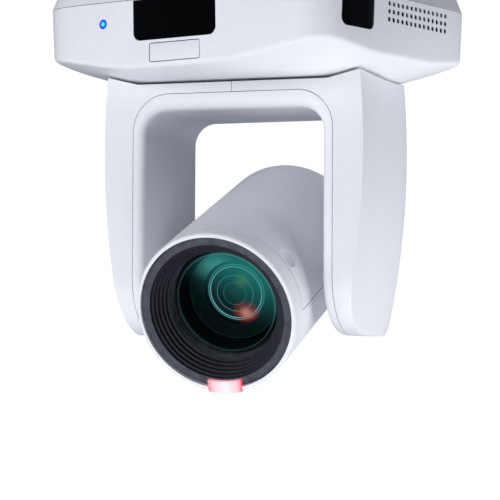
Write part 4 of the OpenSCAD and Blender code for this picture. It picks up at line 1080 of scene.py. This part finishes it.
painted_amber_reflection = spot(zoom_glass_reflections, 4.5, 7, 5.5)
inner_face = zoom_glass_reflections.mix(painted_amber_reflection * 0.6, painted_ring_highlights, colour(128, 128, 44))
inner_face = zoom_glass_reflections.mix(painted_red_reflection * 0.85, inner_face, colour(226, 60, 50))
inner_face = zoom_glass_reflections.mix(painted_red_reflection_core * 0.8, inner_face, colour(255, 150, 140))
zoom_glass_reflections.feed(Base_Color=inner_face, Emission_Color=inner_face)
settle(zoom_glass, "zoom_group_glass", "zoom_group", "coated_glass", finish=zoom_glass_reflections, place=in_head)
paint(zoom_glass_reflections, "focus_lens_group", "infrared_filter")

# ---- Floor ----
# A plain pale studio floor, in metres and well below the camera, which hangs.
# It isn't part of the object.
FLOOR_HALF = 0.7
FLOOR_Z = -3
FLOOR_T = 0.01
floor = box((-FLOOR_HALF, -FLOOR_HALF, FLOOR_Z), (FLOOR_HALF, FLOOR_HALF, FLOOR_Z + FLOOR_T))
floor.name = "studio_floor"
paper = Finish("studio_paper", Roughness=0.9)
paper.feed(Base_Color=paper.mix(paper.noise(3), colour(246, 246, 247), colour(250, 250, 250)))
floor.data.materials.append(paper.material)

# ---- Studio light ----
# A white backdrop, a faint cool light from all round, a large soft box in front, weaker ones below and
# behind, and a small one close to the right side.
world = bpy.data.worlds.new("studio")
world.use_nodes = True
bpy.context.scene.world = world
bpy.context.scene.view_settings.view_transform = "Standard"
sky = world.node_tree
around = sky.nodes["Background"]
around.inputs["Color"].default_value = (0.6, 0.77, 1, 1)
around.inputs["Strength"].default_value = 0.14
backdrop = sky.nodes.new("ShaderNodeBackground")
backdrop.inputs["Color"].default_value = (1, 1, 1, 1)
backdrop.inputs["Strength"].default_value = 1.05
seen = sky.nodes.new("ShaderNodeMixShader")
sky.links.new(sky.nodes.new("ShaderNodeLightPath").outputs["Is Camera Ray"], seen.inputs["Fac"])
sky.links.new(around.outputs[0], seen.inputs[1])
sky.links.new(backdrop.outputs[0], seen.inputs[2])
sky.links.new(seen.outputs[0], sky.nodes["World Output"].inputs["Surface"])


def soft_box(name, azimuth, height, distance, size, power):
    """A square area light aimed at the middle of the camera, azimuth degrees to the right of the front."""
    light = bpy.data.lights.new(name, "AREA")
    light.size, light.energy = size, power
    lamp = bpy.data.objects.new(name, light)
    turn = math.radians(azimuth)
    where = Vector((distance * math.sin(turn), -distance * math.cos(turn), height))
    lamp.location = where
    lamp.rotation_euler = (Vector((0, 0, -0.1)) - where).to_track_quat("-Z", "Y").to_euler()
    lamp.visible_glossy = False
    bpy.context.scene.collection.objects.link(lamp)


soft_box("key_light", -4, 0.0, 1.5, 1.0, 18)
soft_box("low_light", 50, -1.0, 0.35, 0.8, 6)
soft_box("back_light", -160, 0.9, 1.6, 1.2, 7)
soft_box("side_light", 114, -0.26, 0.42, 0.25, 1.2)

# ---- Camera ----
# A long lens in front of the object and to its right, a little below its middle and looking slightly up.
# The arm ends stay at the same place in the frame when the sizes change.
AZIMUTH, ELEVATION, ROLL = math.radians(35.3), math.radians(2.69), math.radians(0.294)
DISTANCE, SIDEWAYS, UPWARDS = 1.2657, 0.003247, -0.044521
LENS = 175.2
level = math.cos(ELEVATION)
forward = Vector((-math.sin(AZIMUTH) * level, math.cos(AZIMUTH) * level, math.sin(ELEVATION)))
right = forward.cross(Vector((0, 0, 1))).normalized()
up = right.cross(forward)
rolled_right = math.cos(ROLL) * right + math.sin(ROLL) * up
rolled_up = math.cos(ROLL) * up - math.sin(ROLL) * right
arm_ends = Vector((0, 0, YOKE_LOW * MM))
camera_data = bpy.data.cameras.new("camera")
camera_data.lens = LENS
camera_data.clip_end = 50
camera = bpy.data.objects.new("camera", camera_data)
turn = Matrix((rolled_right, rolled_up, -forward)).transposed().to_4x4()
camera.matrix_world = Matrix.Translation(
    arm_ends - rolled_right * SIDEWAYS - rolled_up * UPWARDS - forward * DISTANCE) @ turn
bpy.context.scene.collection.objects.link(camera)
bpy.context.scene.camera = camera
